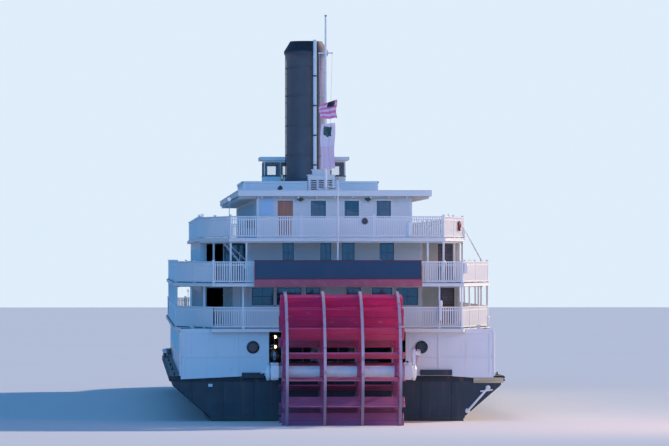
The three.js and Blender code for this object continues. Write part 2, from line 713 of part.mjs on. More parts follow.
// Mast with its yard, the stern flagstaff and the two flags that hang behind the mast
const POLE_FOOT = 14;
const MAST = { y: 1600, radius: 9, tip: 5, foot: 18, top: 2410 };
const YARD = { z: 2200, half: 40, radius: 4 };
const mast = join([
  rod(MAST.radius, [0, MAST.y, TEXAS_ROOF + GAP], [0, MAST.y, MAST.top], 10, MAST.tip),
  rod(MAST.foot, [0, MAST.y, TEXAS_ROOF + GAP], [0, MAST.y, TEXAS_ROOF + POLE_FOOT], 12),
  rod(YARD.radius, [-YARD.half, MAST.y, YARD.z], [YARD.half, MAST.y, YARD.z], 8),
]);
add("mast", mast, WHITE_PAINT);

const STAFF = { y: -62, radius: 5, tip: 3, foot: 12, top: 1487 };
const staffFloor = OBSERVATION_DECK + GAP;
const flagstaff = join([
  rod(STAFF.radius, [0, STAFF.y, staffFloor], [0, STAFF.y, STAFF.top], 10, STAFF.tip),
  rod(STAFF.foot, [0, STAFF.y, staffFloor], [0, STAFF.y, OBSERVATION_DECK + POLE_FOOT], 12),
]);
add("flagstaff", flagstaff, WHITE_PAINT);

const FLAG_BEHIND = 13;
const FLAG_DEPTH = 16;
const flags = [
  // name, left, right, low, high, material
  ["flag_upper", -40, 65, 1836, 1950, FLAG_STRIPED],
  ["flag_lower", -32, 54, 1560, 1822, FLAG_PLAIN],
];
flags.forEach(([name, left, right, low, high, material]) => {
  const fore = MAST.y - FLAG_BEHIND;
  add(name, box(left, right, fore - FLAG_DEPTH, fore, low, high), material);
});

// Blank sign board on the observation deck's stern edge
const SIGN = { half: 432, low: 927, high: 1064, thickness: 12 };
const signY = OBSERVATION_PLAN.sternY - GAP;
const sign = box(-SIGN.half, SIGN.half, signY - SIGN.thickness, signY, SIGN.low, SIGN.high);
add("sign_board", sign, SIGN_NAVY);

// Timbers that carry the wheel, each with its shaft bearing and engine cylinder
sides.forEach(([side, sign]) => {
  const [x0, x1] = across(sign, TIMBER_INNER, TIMBER_OUTER);
  const [b0, b1] = across(sign, TIMBER_INNER, TIMBER_OUTER + BEARING.proud);
  const bearing = box(
    b0,
    b1,
    WHEEL_Y - BEARING.half,
    WHEEL_Y + BEARING.half,
    WHEEL_Z + BEARING.low,
    WHEEL_Z + BEARING.high,
  );
  const cylinderX = (x0 + x1) / 2 - sign * CYLINDER.inboard;
  const cylinder = rod(
    CYLINDER.radius,
    [cylinderX, CYLINDER.aft, CYLINDER.z],
    [cylinderX, CYLINDER.fore, CYLINDER.z],
    14,
  );
  const timber = box(x0, x1, TIMBER_AFT_Y, TIMBER_FORE_Y, TIMBER_LOW, TIMBER_HIGH);
  const saddle = box(x0, x1, SADDLE.aft, SADDLE.fore, TIMBER_HIGH - SADDLE.overlap, CYLINDER.z);
  const boreRadius = SHAFT_RADIUS + SHAFT_CLEARANCE;
  const bore = rod(boreRadius, [-GUARD_HALF, WHEEL_Y, WHEEL_Z], [GUARD_HALF, WHEEL_Y, WHEEL_Z], 24);
  add(`wheel_timber_${side}`, join([timber, bearing, cylinder, saddle]).subtract(bore), WHITE_PAINT);
});

const STERN_BEAM = { aft: 5, fore: 40, top: 512 };
const beamHalf = TIMBER_INNER - GAP;
const beamLow = MAIN_DECK + GAP;
const sternBeam = box(-beamHalf, beamHalf, STERN_BEAM.aft, STERN_BEAM.fore, beamLow, STERN_BEAM.top);
add("stern_beam", sternBeam, WHITE_PAINT);

// Boilers, one plain block
const BOILERS = { half: 260, aft: 3700, fore: 4500, top: 650 };
const boilers = box(-BOILERS.half, BOILERS.half, BOILERS.aft, BOILERS.fore, MAIN_DECK + GAP, BOILERS.top);
add("boilers", boilers, STEEL);

// Paddle wheel: four framed rims on hubs, with the boards across them
const wheelGroup = new THREE.Group();
wheelGroup.position.set(0, WHEEL_Y, WHEEL_Z);
ship.add(wheelGroup);
const PITCH = (2 * Math.PI) / BOARD_COUNT;
const REST_PHASE = PITCH / 4;

function ringPlate(outer, inner, segments, phase = 0) {
  const turn = (i) => (i / segments) * 2 * Math.PI + phase;
  const shape = new THREE.Shape();
  const hole = new THREE.Path();
  for (let i = 0; i < segments; i++) {
    const a = turn(i);
    const method = i === 0 ? "moveTo" : "lineTo";
    shape[method](outer * Math.cos(a), outer * Math.sin(a));
    hole[method](inner * Math.cos(a), inner * Math.sin(a));
  }
  shape.closePath();
  hole.closePath();
  shape.holes.push(hole);
  return shape;
}

// A flat shape in the wheel's plane, thickened along the shaft about x
const acrossShaft = (shape, x, thickness) => uprightShape(shape, x - thickness / 2, x + thickness / 2);

function spoke(angle, from, to, width, x, thickness) {
  const along = [Math.cos(angle), Math.sin(angle)];
  const side = [-along[1] * width / 2, along[0] * width / 2];
  const corner = (radius, sign) => [
    along[0] * radius + sign * side[0],
    along[1] * radius + sign * side[1],
  ];
  const points = [corner(from, -1), corner(to, -1), corner(to, 1), corner(from, 1)];
  return acrossShaft(shapeOf(points), x, thickness);
}

const hubBore = (SHAFT_RADIUS + GAP) / Math.cos(Math.PI / BOARD_COUNT);
const wheelPieces = [];
FRAME_XS.forEach((x) => {
  const rim = ringPlate(WHEEL_RADIUS, WHEEL_RADIUS - RIM_WIDTH, 2 * BOARD_COUNT);
  const hub = ringPlate(HUB_RADIUS, hubBore, BOARD_COUNT);
  wheelPieces.push(acrossShaft(rim, x, FRAME_THICKNESS));
  wheelPieces.push(acrossShaft(hub, x, HUB_THICKNESS));
  for (let i = 0; i < BOARD_COUNT; i++) {
    const angle = i * PITCH + REST_PHASE;
    const armEnds = [HUB_RADIUS - ARM_SEAT, WHEEL_RADIUS - RIM_SEAT];
    wheelPieces.push(spoke(angle, ...armEnds, ARM_WIDTH, x, FRAME_THICKNESS));
  }
});
[FRAME_XS[0], FRAME_XS[FRAME_XS.length - 1]].forEach((x) => {
  const ring = ringPlate(INNER_RING_RADIUS, INNER_RING_RADIUS - INNER_RING_WIDTH, BOARD_COUNT, REST_PHASE);
  wheelPieces.push(acrossShaft(ring, x, FRAME_THICKNESS));
});
for (let i = 0; i < BOARD_COUNT; i++) {
  const angle = i * PITCH + REST_PHASE;
  wheelPieces.push(spoke(angle, BOARD_INNER, BOARD_OUTER, BOARD_THICKNESS, 0, 2 * BOARD_HALF_LENGTH));
}
add("paddle_wheel", join(wheelPieces), WHEEL_RED, wheelGroup);

// Shaft with a crank at each end, a quarter turn apart
const crankPieces = [rod(SHAFT_RADIUS, [-CRANK_OUTER, 0, 0], [CRANK_OUTER, 0, 0], 24)];
sides.forEach(([, sign]) => {
  const [x0, x1] = across(sign, CRANK_INNER, CRANK_OUTER);
  const webReach = CRANK_THROW + CRANK_WEB_END;
  const up = sign > 0;
  const web = up
    ? box(x0, x1, -CRANK_WEB_HALF, CRANK_WEB_HALF, 0, webReach)
    : box(x0, x1, 0, webReach, -CRANK_WEB_HALF, CRANK_WEB_HALF);
  const pinAt = up ? [0, CRANK_THROW] : [CRANK_THROW, 0];
  const pinFrom = sign * (CRANK_OUTER - CRANK_PIN.seat);
  const pinTo = sign * (CRANK_OUTER + CRANK_PIN.length);
  const pin = rod(CRANK_PIN.radius, [pinFrom, ...pinAt], [pinTo, ...pinAt], 12);
  const boss = rod(CRANK_BOSS_RADIUS, [sign * CRANK_INNER, 0, 0], [sign * CRANK_OUTER, 0, 0], 24);
  crankPieces.push(web, boss, pin);
});
add("wheel_shaft", join(crankPieces), WHITE_PAINT, wheelGroup);

// Rudders under the raked stern
const RUDDER_XS = [["port", -330], ["middle", 0], ["starboard", 330]];
const RUDDER_STOCK_Y = 260;
const RUDDER_STOCK_LOW = 20;
const RUDDER_STOCK_TOP = 152;
const RUDDER_STOCK_RADIUS = 11;
const RUDDER_THICKNESS = 9;
const rudderBlade = [
  // y, z
  [30, 12],
  [340, 12],
  [340, 122],
  [30, 172],
];
RUDDER_XS.forEach(([side, x]) => {
  const blade = uprightPlate(rudderBlade, x - RUDDER_THICKNESS / 2, x + RUDDER_THICKNESS / 2);
  const stockFoot = [x, RUDDER_STOCK_Y, RUDDER_STOCK_LOW];
  const stock = rod(RUDDER_STOCK_RADIUS, stockFoot, [x, RUDDER_STOCK_Y, RUDDER_STOCK_TOP], 12);
  add(`rudder_${side}`, join([blade, stock]), RUDDER_STEEL);
});

// Doors, each set flush in the outer face of its wall
const texasLeafY = TEXAS_HOUSE.aft + DOOR_SETBACK;
add(
  "texas_door",
  box(
    TEXAS_DOOR.left + DOOR_CLEARANCE,
    TEXAS_DOOR.right - DOOR_CLEARANCE,
    texasLeafY,
    texasLeafY + DOOR_THICKNESS,
    TEXAS_DOOR.low + DOOR_CLEARANCE,
    TEXAS_DOOR.high - DOOR_CLEARANCE,
  ),
  DOOR_ORANGE,
);
sides.forEach(([side, sign]) => {
  const leafFace = MAIN_HOUSE.half - DOOR_SETBACK;
  const [x0, x1] = across(sign, leafFace - DOOR_THICKNESS, leafFace);
  add(
    `boarding_door_${side}`,
    box(
      x0,
      x1,
      doorSpan[0] + DOOR_CLEARANCE,
      doorSpan[1] - DOOR_CLEARANCE,
      BOARDING_DOOR.low + DOOR_CLEARANCE,
      BOARDING_DOOR.high - DOOR_CLEARANCE,
    ),
    WHITE_PAINT,
  );
});

const group = new THREE.Group();
group.add(ship);
export default group;
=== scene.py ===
# Looks of a sternwheel river steamer, a scale model at one tenth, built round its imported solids.
# Shapes are drawn in millimetres as the solids are: X to starboard, Y forward from the transom,
# Z up from the flat bottom. built() turns them into the frame's metres.
import math

import bmesh
import bpy
from mathutils import Matrix, Vector


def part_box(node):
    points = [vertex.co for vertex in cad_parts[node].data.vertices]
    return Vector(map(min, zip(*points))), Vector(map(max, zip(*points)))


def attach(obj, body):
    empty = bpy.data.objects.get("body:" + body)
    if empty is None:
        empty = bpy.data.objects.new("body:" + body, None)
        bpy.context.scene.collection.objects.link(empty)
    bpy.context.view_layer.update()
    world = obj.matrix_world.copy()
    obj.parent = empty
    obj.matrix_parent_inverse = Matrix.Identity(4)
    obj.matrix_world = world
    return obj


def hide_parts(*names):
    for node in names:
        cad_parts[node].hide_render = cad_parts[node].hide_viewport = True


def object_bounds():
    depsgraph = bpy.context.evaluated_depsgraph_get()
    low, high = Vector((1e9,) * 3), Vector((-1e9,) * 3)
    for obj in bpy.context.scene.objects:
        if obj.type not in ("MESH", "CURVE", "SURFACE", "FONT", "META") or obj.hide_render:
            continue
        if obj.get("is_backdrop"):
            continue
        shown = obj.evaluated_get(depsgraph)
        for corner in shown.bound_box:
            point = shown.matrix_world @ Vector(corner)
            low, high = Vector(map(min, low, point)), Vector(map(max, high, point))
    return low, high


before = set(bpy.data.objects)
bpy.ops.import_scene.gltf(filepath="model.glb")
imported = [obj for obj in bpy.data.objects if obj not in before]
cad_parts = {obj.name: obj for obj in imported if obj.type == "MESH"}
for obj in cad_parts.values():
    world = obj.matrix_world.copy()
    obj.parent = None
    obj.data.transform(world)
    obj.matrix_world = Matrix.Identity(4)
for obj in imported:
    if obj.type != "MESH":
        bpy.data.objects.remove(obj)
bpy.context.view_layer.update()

# Places and levels, taken from the frame
STERN_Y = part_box("main_deck")[0].y
SHIP_TO_FRAME = Matrix.Translation((0, STERN_Y, 0)) @ Matrix.Scale(0.001, 4)
FRAME_TO_SHIP = SHIP_TO_FRAME.inverted()


def limits(node):
    """Lowest and highest corner of a solid, in the ship's millimetres."""
    low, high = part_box(node)
    return FRAME_TO_SHIP @ low, FRAME_TO_SHIP @ high


def top_of(node):
    return round(limits(node)[1].z, 1)


MAIN_DECK, SALOON_DECK, OBSERVATION_DECK, TEXAS_DECK, TEXAS_ROOF, TRUNK_ROOF = map(
    top_of, ("main_deck", "saloon_deck", "observation_deck", "texas_deck", "texas_roof", "trunk")
)
DECK_THICKNESS = 15
WALL = 12
WATERLINE = 230
SIDES = (-1, 1)
NAMED_SIDES = (("port", -1), ("starboard", 1))
IDENTITY = Matrix.Identity(4)
ABEAM, FORE, AFT, UP = (1, 0, 0), (0, 1, 0), (0, -1, 0), (0, 0, 1)

# Plans of the decks above the main deck and half widths of the houses, as in the solids
SALOON_PLAN = dict(half=840, stern_half=650, stern=-50, full=700, bow=6420, tip=6750)
OBSERVATION_PLAN = dict(half=840, stern_half=650, stern=-100, full=700, bow=5900, tip=6500)
TEXAS_PLAN = dict(half=715, stern_half=560, stern=0, full=800, bow=5500, tip=5950)
MAIN_HALF, CABIN_HALF, TEXAS_HALF = 810, 690, 407
FORE_WALLS = {"main": 6400, "saloon": 5950, "observation": 5650, "texas": 5500}
CABIN_STERN, SHOULDER_WALL, TEXAS_STERN = 300, 900, 400
TRUNK = (400, 4000, 5480)  # half width, aft and fore, as in the next line
PILOTHOUSE = (250, 5040, 5440)
PILOTHOUSE_SILL = TRUNK_ROOF + 52
MAIN_CEILING, SALOON_CEILING, OBSERVATION_CEILING = (
    deck - DECK_THICKNESS for deck in (SALOON_DECK, OBSERVATION_DECK, TEXAS_DECK)
)
GAP = 0.3  # between a piece and the decks
CLEAR = 0.5  # between trim and the decks


# Shader nodes

def operator(name, swapped=False):
    def apply(self, other):
        return self.finish.math(name, *((other, self) if swapped else (self, other)))
    return apply


class Socket:
    """A shader node's output, on which Python's arithmetic adds Math nodes."""

    __add__ = operator("ADD")
    __sub__ = operator("SUBTRACT")
    __rsub__ = operator("SUBTRACT", swapped=True)
    __mul__ = operator("MULTIPLY")
    __mod__ = operator("FLOORED_MODULO")
    __lt__ = operator("LESS_THAN")
    __gt__ = operator("GREATER_THAN")

    def __init__(self, finish, output):
        self.finish = finish
        self.output = output

    def above(self, start, width):
        """0 below start, rising to 1 over width."""
        return self.finish.math("MULTIPLY", self - start, 1 / width, clamp=True)


class Finish:
    """A painted, metal, wooden, glass or cloth surface of the ship, with its record slot."""

    def __init__(self, name, slot, metallic=0.0, coat=0.0):
        self.slot = slot
        self.material = bpy.data.materials.new(name)
        self.material.use_nodes = True
        self.tree = self.material.node_tree
        self.shader = self.tree.nodes["Principled BSDF"]
        self.put("Metallic", metallic)
        self.put("Coat Weight", coat)
        self.place = self.node("ShaderNodeTexCoord", out="Object")

    def join(self, target, value):
        """Links a socket to a value, or sets it. Colours are red, green and blue."""
        if isinstance(value, Socket):
            self.tree.links.new(value.output, target)
        else:
            target.default_value = (*value, 1.0) if target.type == "RGBA" else value

    def put(self, name, value):
        self.join(self.shader.inputs[name], value)

    def node(self, kind, settings=None, sockets=None, out=0):
        made = self.tree.nodes.new(kind)
        for key, value in (settings or {}).items():
            setattr(made, key, value)
        for key, value in (sockets or {}).items():
            self.join(made.inputs[key], value)
        return Socket(self, made.outputs[out])

    def math(self, operation, *values, clamp=False):
        settings = {"operation": operation, "use_clamp": clamp}
        return self.node("ShaderNodeMath", settings, dict(enumerate(values)))

    def axis(self, letter, source=None):
        """One coordinate of the piece, in metres."""
        return self.node("ShaderNodeSeparateXYZ", sockets={0: source or self.place}, out=letter)

    def upward(self):
        """1 on surfaces that face up, and 0 on others."""
        return self.axis("Z", self.node("ShaderNodeNewGeometry", out="Normal")) > 0.5

    def texture(self, kind, stretch, sockets, out=0):
        mapping = self.node("ShaderNodeMapping", sockets={"Vector": self.place, "Scale": stretch})
        return self.node(kind, sockets={"Vector": mapping, **sockets}, out=out)

    def noise(self, scale, stretch=(1, 1, 1), detail=3.0):
        return self.texture("ShaderNodeTexNoise", stretch, {"Scale": scale, "Detail": detail})

    def patches(self, scale, start, width, stretch=(1, 1, 1), detail=3.0):
        """Noise that is 0 below start and rises to 1 over width."""
        return self.noise(scale, stretch, detail).above(start, width)

    def cells(self, stretch):
        """A level for each cell of a random tiling, from 0 to 1."""
        return self.axis("X", self.texture("ShaderNodeTexVoronoi", stretch, {"Scale": 1}, "Color"))

    def over(self, colour, *coats):
        """A colour with other colours laid over it, each by its own share."""
        for share, coat in coats:
            colour = self.node("ShaderNodeMix", {"data_type": "RGBA"}, {0: share, 6: colour, 7: coat}, out=2)
        return colour

    def dress(self, colour, roughness, height, distance, strength):
        """Sets the surface's colour, roughness and relief."""
        self.put("Base Color", colour)
        self.put("Roughness", roughness)
        sockets = {"Height": height, "Distance": distance, "Strength": strength}
        self.put("Normal", self.node("ShaderNodeBump", sockets=sockets))
        return self


WHITE = (0.80, 0.79, 0.77)
GRIME = (0.42, 0.39, 0.35)
RUST = (0.20, 0.07, 0.03)
BOARD_DEPTH = 0.013
ALCOVE_START = STERN_Y + 0.0125


def weathered_white(finish, amount=0.35, base=WHITE):
    """White paint with faint runs of dirt down it and a little mottling."""
    streaks = finish.patches(38, 0.52, 0.25, (1, 1, 0.06), 5) * finish.patches(14, 0.45, 0.4)
    specks = finish.patches(240, 0.68, 0.06, detail=2)
    return finish.over(base, (streaks * amount, GRIME), (specks * 0.25 * amount, RUST))


def lapped_siding():
    """White boards, each lapping the one below."""
    finish = Finish("lapped_siding", "white_paint")
    board = (finish.axis("Z") % BOARD_DEPTH) * (1 / BOARD_DEPTH)
    colour = finish.over(weathered_white(finish), ((board > 0.93) * 0.35, GRIME))
    return finish.dress(colour, finish.noise(30) * 0.2 + 0.36, board + finish.noise(90) * 0.15, 0.0008, 0.6)


def plated_white(name, shade_painted_inside=False):
    """White steel plate with soft dents and rust weeping from its seams, with shade painted dark on it inside the
    wheel's alcove.
    """
    finish = Finish(name, "white_paint")
    weep = finish.patches(60, 0.66, 0.1, (1, 1, 0.05), 6)
    colour = finish.over(weathered_white(finish), (weep * 0.3, (0.5, 0.3, 0.2)))
    if shade_painted_inside:
        # Painted shade: the plates inside the wheel's alcove are painted near black in mottled patches, as the
        # alcove lies in shade.
        painted_alcove_shade = finish.over((0.10, 0.09, 0.10), (finish.patches(8, 0.4, 0.3, detail=5), (0.045, 0.035, 0.04)))
        colour = finish.over(colour, (finish.axis("Y") > ALCOVE_START, painted_alcove_shade))
    return finish.dress(colour, finish.noise(20) * 0.25 + 0.3, finish.noise(7), 0.004, 0.25)


def trim_white(name, slot):
    """Glossier and cleaner white paint."""
    finish = Finish(name, slot)
    colour = weathered_white(finish, 0.2, (0.83, 0.82, 0.80))
    return finish.dress(colour, finish.noise(80) * 0.15 + 0.34, finish.noise(420), 0.0002, 0.5)


def promenade_deck():
    """Grey deck planks, with the edges and the underside white."""
    finish = Finish("promenade_deck", "deck_paint")
    top = finish.upward()
    seam = (finish.axis("X") % 0.014) < 0.0008
    worn = finish.patches(5, 0.5, 0.3, detail=5)
    planked = finish.over(
        (0.24, 0.26, 0.25), (finish.cells((71.4, 0.7, 1)) * 0.5, (0.33, 0.34, 0.32)),
        (worn * 0.5, (0.42, 0.40, 0.36)), (seam, (0.05, 0.05, 0.05)),
    )
    colour = finish.over(weathered_white(finish, 0.3), (top, planked))
    return finish.dress(colour, 0.7, (1 - seam) * top + finish.noise(300) * 0.1, 0.0006, 0.5)


def guard_deck():
    """The main deck: grey planks above, black paint with rust on its edge and underside."""
    finish = Finish("guard_deck", "deck_paint")
    seam = (finish.axis("X") % 0.018) < 0.001
    worn = finish.patches(6, 0.45, 0.3, detail=5)
    planked = finish.over((0.20, 0.20, 0.19), (worn * 0.5, (0.33, 0.30, 0.26)), (seam, (0.03, 0.03, 0.03)))
    rust = finish.patches(26, 0.58, 0.12, (1, 1, 0.3), 6)
    colour = finish.over((0.022, 0.023, 0.03), (rust * 0.6, (0.16, 0.07, 0.04)), (finish.upward(), planked))
    return finish.dress(colour, 0.65, (1 - seam) * 0.5 + finish.noise(200) * 0.2, 0.0008, 0.5)


def black_hull():
    """Blue-black hull paint with plate seams, rust runs and a band of dried scum above the water."""
    finish = Finish("black_hull", "black_hull")
    height = finish.axis("Z")
    chalk = finish.patches(9, 0.5, 0.25, (1, 1, 0.4), 6)
    streaks = finish.patches(34, 0.56, 0.14, (1, 1, 0.08), 6)
    low_mask = height < finish.noise(18, (1, 1, 1.5), 5) * 0.03 + 0.238
    colour = finish.over(
        (0.026, 0.030, 0.040), (chalk * 0.35, (0.075, 0.085, 0.10)), (streaks * 0.5, (0.13, 0.06, 0.035)),
        (low_mask * 0.7, (0.055, 0.06, 0.04)),
    )
    strake = (height % 0.078) < 0.0016
    lap = finish.math("MAXIMUM", strake, (finish.axis("Y") % 0.31) < 0.0016)
    roughness = finish.noise(24) * 0.3 + 0.26 + low_mask * 0.1
    return finish.dress(colour, roughness, finish.noise(8) * 0.5 - lap * 0.35, 0.003, 0.4)


def funnel_paint():
    """Black stack paint, sooty at the crown, with sunlight painted in pale patches on its starboard flank."""
    finish = Finish("funnel_paint", "funnel_black")
    height = finish.axis("Z")
    # Painted sunlight: pale patches on the starboard flank stand for a low sun lighting the stack.
    painted_sunlight = finish.axis("X").above(0.068, 0.02)
    colour = finish.over(
        (0.080, 0.082, 0.095), (finish.patches(16, 0.45, 0.3) * 0.4, (0.125, 0.118, 0.125)),
        (painted_sunlight * finish.patches(11, 0.2, 0.35, (1, 1, 0.35), 6), (0.44, 0.36, 0.44)),
        (height.above(2.30, 0.04) * 0.8, (0.012, 0.012, 0.014)),
    )
    ring = (height % 0.121) < 0.0014
    roughness = finish.noise(30) * 0.25 + 0.3 + painted_sunlight * 0.2
    return finish.dress(colour, roughness, finish.noise(10) * 0.4 - ring * 0.4, 0.003, 0.35)


def roof_paint():
    """Canvas roofing under white paint, dusty and patched."""
    finish = Finish("roof_paint", "roof_paint")
    dust = finish.patches(7, 0.42, 0.35, detail=6)
    colour = finish.over(
        (0.74, 0.74, 0.72), (finish.cells((3.1, 1.2, 1)) * 0.4, (0.62, 0.62, 0.60)),
        (dust * 0.45, (0.47, 0.45, 0.41)),
    )
    seam = (finish.axis("Y") % 0.24) < 0.002
    return finish.dress(colour, 0.7, seam * 0.6 + finish.noise(260) * 0.25, 0.0008, 0.5)


def crimson_boards():
    """Painted wheel planks: crimson with the grain raised and scuffed, darker and purple towards the bottom, partly
    wet and partly painted shade.
    """
    finish = Finish("crimson_boards", "wheel_red", coat=0.15)
    grain = finish.noise(22, (0.16, 3.2, 3.2), 7)
    dirty = finish.patches(9, 0.5, 0.22, (0.5, 1, 1), 5)
    scuffed = finish.patches(46, 0.66, 0.06, (0.3, 1, 1), 4)
    # Painted shade and wet wood: the lower part of the wheel at rest is darkened to a purple shade tone, which turns
    # with the wheel.
    damp_and_shade = 1 - finish.axis("Z").above(0.30, 0.55)
    colour = finish.over(
        (0.70, 0.022, 0.11), (grain.above(0.35, 0.4), (0.88, 0.035, 0.16)), (dirty * 0.5, (0.34, 0.03, 0.12)),
        (scuffed * 0.4, (0.62, 0.33, 0.36)), (damp_and_shade * 0.72, (0.29, 0.18, 0.30)),
    )
    return finish.dress(colour, finish.noise(18) * 0.3 + 0.25, grain, 0.0009, 0.6)


def rim_paint():
    """Pinkish white rims, splashed with red, and darker towards the bottom."""
    finish = Finish("rim_paint", "rim_white")
    splash = finish.patches(28, 0.57, 0.1, detail=6)
    # Darker below about the height of the shaft, with the wheel at rest.
    low_mask = 1 - finish.axis("Z").above(0.40, 0.12)
    colour = finish.over(
        (0.66, 0.45, 0.50), (finish.patches(10, 0.4, 0.3) * 0.5, (0.62, 0.36, 0.42)),
        (splash * 0.5, (0.40, 0.08, 0.09)), (low_mask * 0.8, (0.22, 0.14, 0.19)),
    )
    return finish.dress(colour, finish.noise(50) * 0.25 + 0.32, finish.noise(120), 0.0005, 0.5)


def plain_metal(name, slot, dark, light, roughness=0.4, metallic=0.9):
    """Cast, rolled or polished metal with tarnish in its hollows."""
    finish = Finish(name, slot, metallic)
    tarnish = finish.patches(60, 0.42, 0.3, detail=5)
    colour = finish.over(light, (tarnish, dark))
    return finish.dress(colour, tarnish * 0.25 + roughness - 0.1, finish.noise(300), 0.0003, 0.5)


def plain_paint(name, slot, colour, worn, roughness=0.45, scale=24, wear=0.4, coat=0.0):
    """Paint of one colour that has chalked and chipped a little."""
    finish = Finish(name, slot, coat=coat)
    aged = finish.over(colour, (finish.patches(scale, 0.48, 0.25, detail=5) * wear, worn))
    uneven = finish.noise(scale * 2) * 0.2 + roughness - 0.1
    return finish.dress(aged, uneven, finish.noise(scale * 10), 0.0003, 0.5)


def varnished_wood(name, light, dark, stretch=(8, 8, 0.5)):
    """Varnished boards with the grain running up them, or as stretched."""
    finish = Finish(name, "door_orange", coat=0.35)
    grain = finish.noise(12, stretch, 7)
    colour = finish.over(light, (grain.above(0.35, 0.35), dark))
    return finish.dress(colour, finish.noise(40) * 0.2 + 0.22, grain, 0.0004, 0.4)


def worn_timber():
    """A fender plank with most of its paint rubbed away."""
    finish = Finish("worn_timber", "deck_paint")
    grain = finish.noise(16, (0.3, 4, 4), 7)
    painted = finish.patches(14, 0.56, 0.06, (0.6, 1, 1), 5)
    colour = finish.over(
        (0.60, 0.52, 0.34), (grain.above(0.4, 0.3), (0.36, 0.29, 0.18)), (painted * 0.8, (0.04, 0.04, 0.045))
    )
    return finish.dress(colour, 0.8, grain, 0.001, 0.6)


def window_glass():
    """Dark panes with a curtain's tone behind some of them."""
    finish = Finish("window_glass", "glass", coat=0.3)
    curtain = finish.cells((1.7, 3.1, 2.3)).above(0.62, 0.1)
    folds = finish.patches(90, 0.4, 0.3, (1, 1, 0.05))
    drawn = finish.over((0.12, 0.10, 0.10), (folds, (0.22, 0.19, 0.18)))
    cloudy = finish.patches(3, 0.4, 0.3)
    colour = finish.over((0.022, 0.025, 0.034), (cloudy, (0.06, 0.055, 0.07)), (curtain * 0.5, drawn))
    return finish.dress(colour, 0.07, finish.noise(6), 0.002, 0.12)


def clear_glass():
    """Thin clear panes, faintly streaked."""
    finish = Finish("clear_glass", "glass")
    streaks = finish.noise(9, (1, 1, 0.3))
    finish.put("Base Color", finish.over((0.72, 0.80, 0.86), (streaks.above(0.4, 0.4), (0.80, 0.85, 0.88))))
    finish.put("Roughness", streaks * 0.1 + 0.02)
    finish.put("Alpha", 0.1)
    return finish


def lamp_glow(name, colour, strength):
    """Opal glass lit from inside."""
    finish = Finish(name, "lamp_glass")
    finish.put("Base Color", finish.over((0.92, 0.88, 0.78), (finish.patches(70, 0.4, 0.3), (0.85, 0.8, 0.68))))
    finish.put("Roughness", 0.3)
    finish.put("Emission Color", colour)
    finish.put("Emission Strength", strength)
    return finish


def bunting(name, slot, ground, stripe, bands, patch, patch_colour):
    """Woven cloth with stripes across it and one darker patch, by the piece's own UV map."""
    finish = Finish(name, slot)
    spread = finish.node("ShaderNodeUVMap", {"uv_map": "cloth"})
    sideways, up = finish.axis("X", spread), finish.axis("Y", spread)
    left, right, low, high = patch
    across = sideways + (finish.noise(30, detail=2) - 0.5) * 0.3
    height = up + sideways * 0.12 + (finish.noise(22, detail=2) - 0.5) * 0.2
    inside = (across > left) * (across < right) * (height > low) * (height < high)
    faded = finish.patches(40, 0.4, 0.4) * 0.2
    colour = finish.over(
        ground, (((up * bands) % 2) < 1, stripe), (inside, patch_colour), (faded, (0.7, 0.62, 0.64))
    )
    return finish.dress(colour, 0.85, ((sideways * 240) % 1) * ((up * 160) % 1), 0.0002, 0.5)


SIDING = lapped_siding()
PLATE = plated_white("plated_white")
STERN_PLATE = plated_white("stern_plating", shade_painted_inside=True)
TRIM = trim_white("trim_white", "white_paint")
RAILING = trim_white("railing_white", "rail_paint")
GLOSS_WHITE = plain_paint("gloss_white", "mast_paint", (0.82, 0.81, 0.80), (0.60, 0.58, 0.56), 0.32, coat=0.2)
PROMENADE = promenade_deck()
GUARD = guard_deck()
HULL = black_hull()
FUNNEL = funnel_paint()
ROOF = roof_paint()
CRIMSON = crimson_boards()
RIM = rim_paint()
NAVY = plain_paint("sign_navy", "sign_navy", (0.016, 0.028, 0.075), (0.035, 0.045, 0.09), 0.35, 12, 0.5, 0.2)
MAROON = plain_paint("maroon_trim", "maroon_trim", (0.20, 0.014, 0.035), (0.10, 0.02, 0.03), 0.42)
MAUVE = plain_paint("mauve_fascia", "maroon_trim", (0.46, 0.10, 0.14), (0.55, 0.22, 0.25), 0.5)
SLATE = plain_paint("slate_enamel", "steel", (0.05, 0.06, 0.10), (0.10, 0.11, 0.15), 0.4, 40)
BRASS = plain_metal("brass", "brass", (0.36, 0.22, 0.08), (0.72, 0.52, 0.22), 0.28)
IRON = plain_metal("black_iron", "steel", (0.03, 0.022, 0.02), (0.07, 0.07, 0.075), 0.5, 0.6)
MACHINE = plain_metal("machine_steel", "steel", (0.10, 0.09, 0.085), (0.30, 0.30, 0.31), 0.38)
BOTTOM = plain_paint("bottom_paint", "rudder_steel", (0.035, 0.028, 0.025), (0.10, 0.05, 0.03), 0.6, 14, 0.7)
ORANGE_DOOR = varnished_wood("varnished_door", (0.60, 0.18, 0.055), (0.38, 0.10, 0.035))
OAK = varnished_wood("varnished_oak", (0.36, 0.17, 0.07), (0.20, 0.08, 0.03), (0.5, 8, 8))
VARNISHED_SASH = varnished_wood("varnished_sash", (0.16, 0.075, 0.04), (0.07, 0.035, 0.03))
GREY_SASH = plain_paint("grey_sash", "white_paint", (0.13, 0.12, 0.14), (0.22, 0.20, 0.21), 0.45, 40, 0.5)
DARK_WOOD = plain_paint("dark_wood", "door_orange", (0.055, 0.040, 0.045), (0.13, 0.085, 0.075), 0.4, 30, 0.5, 0.2)
PALE_BLUE = plain_paint("pale_blue", "white_paint", (0.48, 0.68, 0.86), (0.55, 0.72, 0.86), 0.5, 18)
GREEN_METAL = plain_paint("green_enamel", "steel", (0.05, 0.14, 0.12), (0.12, 0.18, 0.16), 0.35, 40, coat=0.3)
TIMBER = worn_timber()
DARK_GLASS = window_glass()
CLEAR_GLASS = clear_glass()
LAMP = lamp_glow("lamp_opal", (1.0, 0.93, 0.8), 0.25)
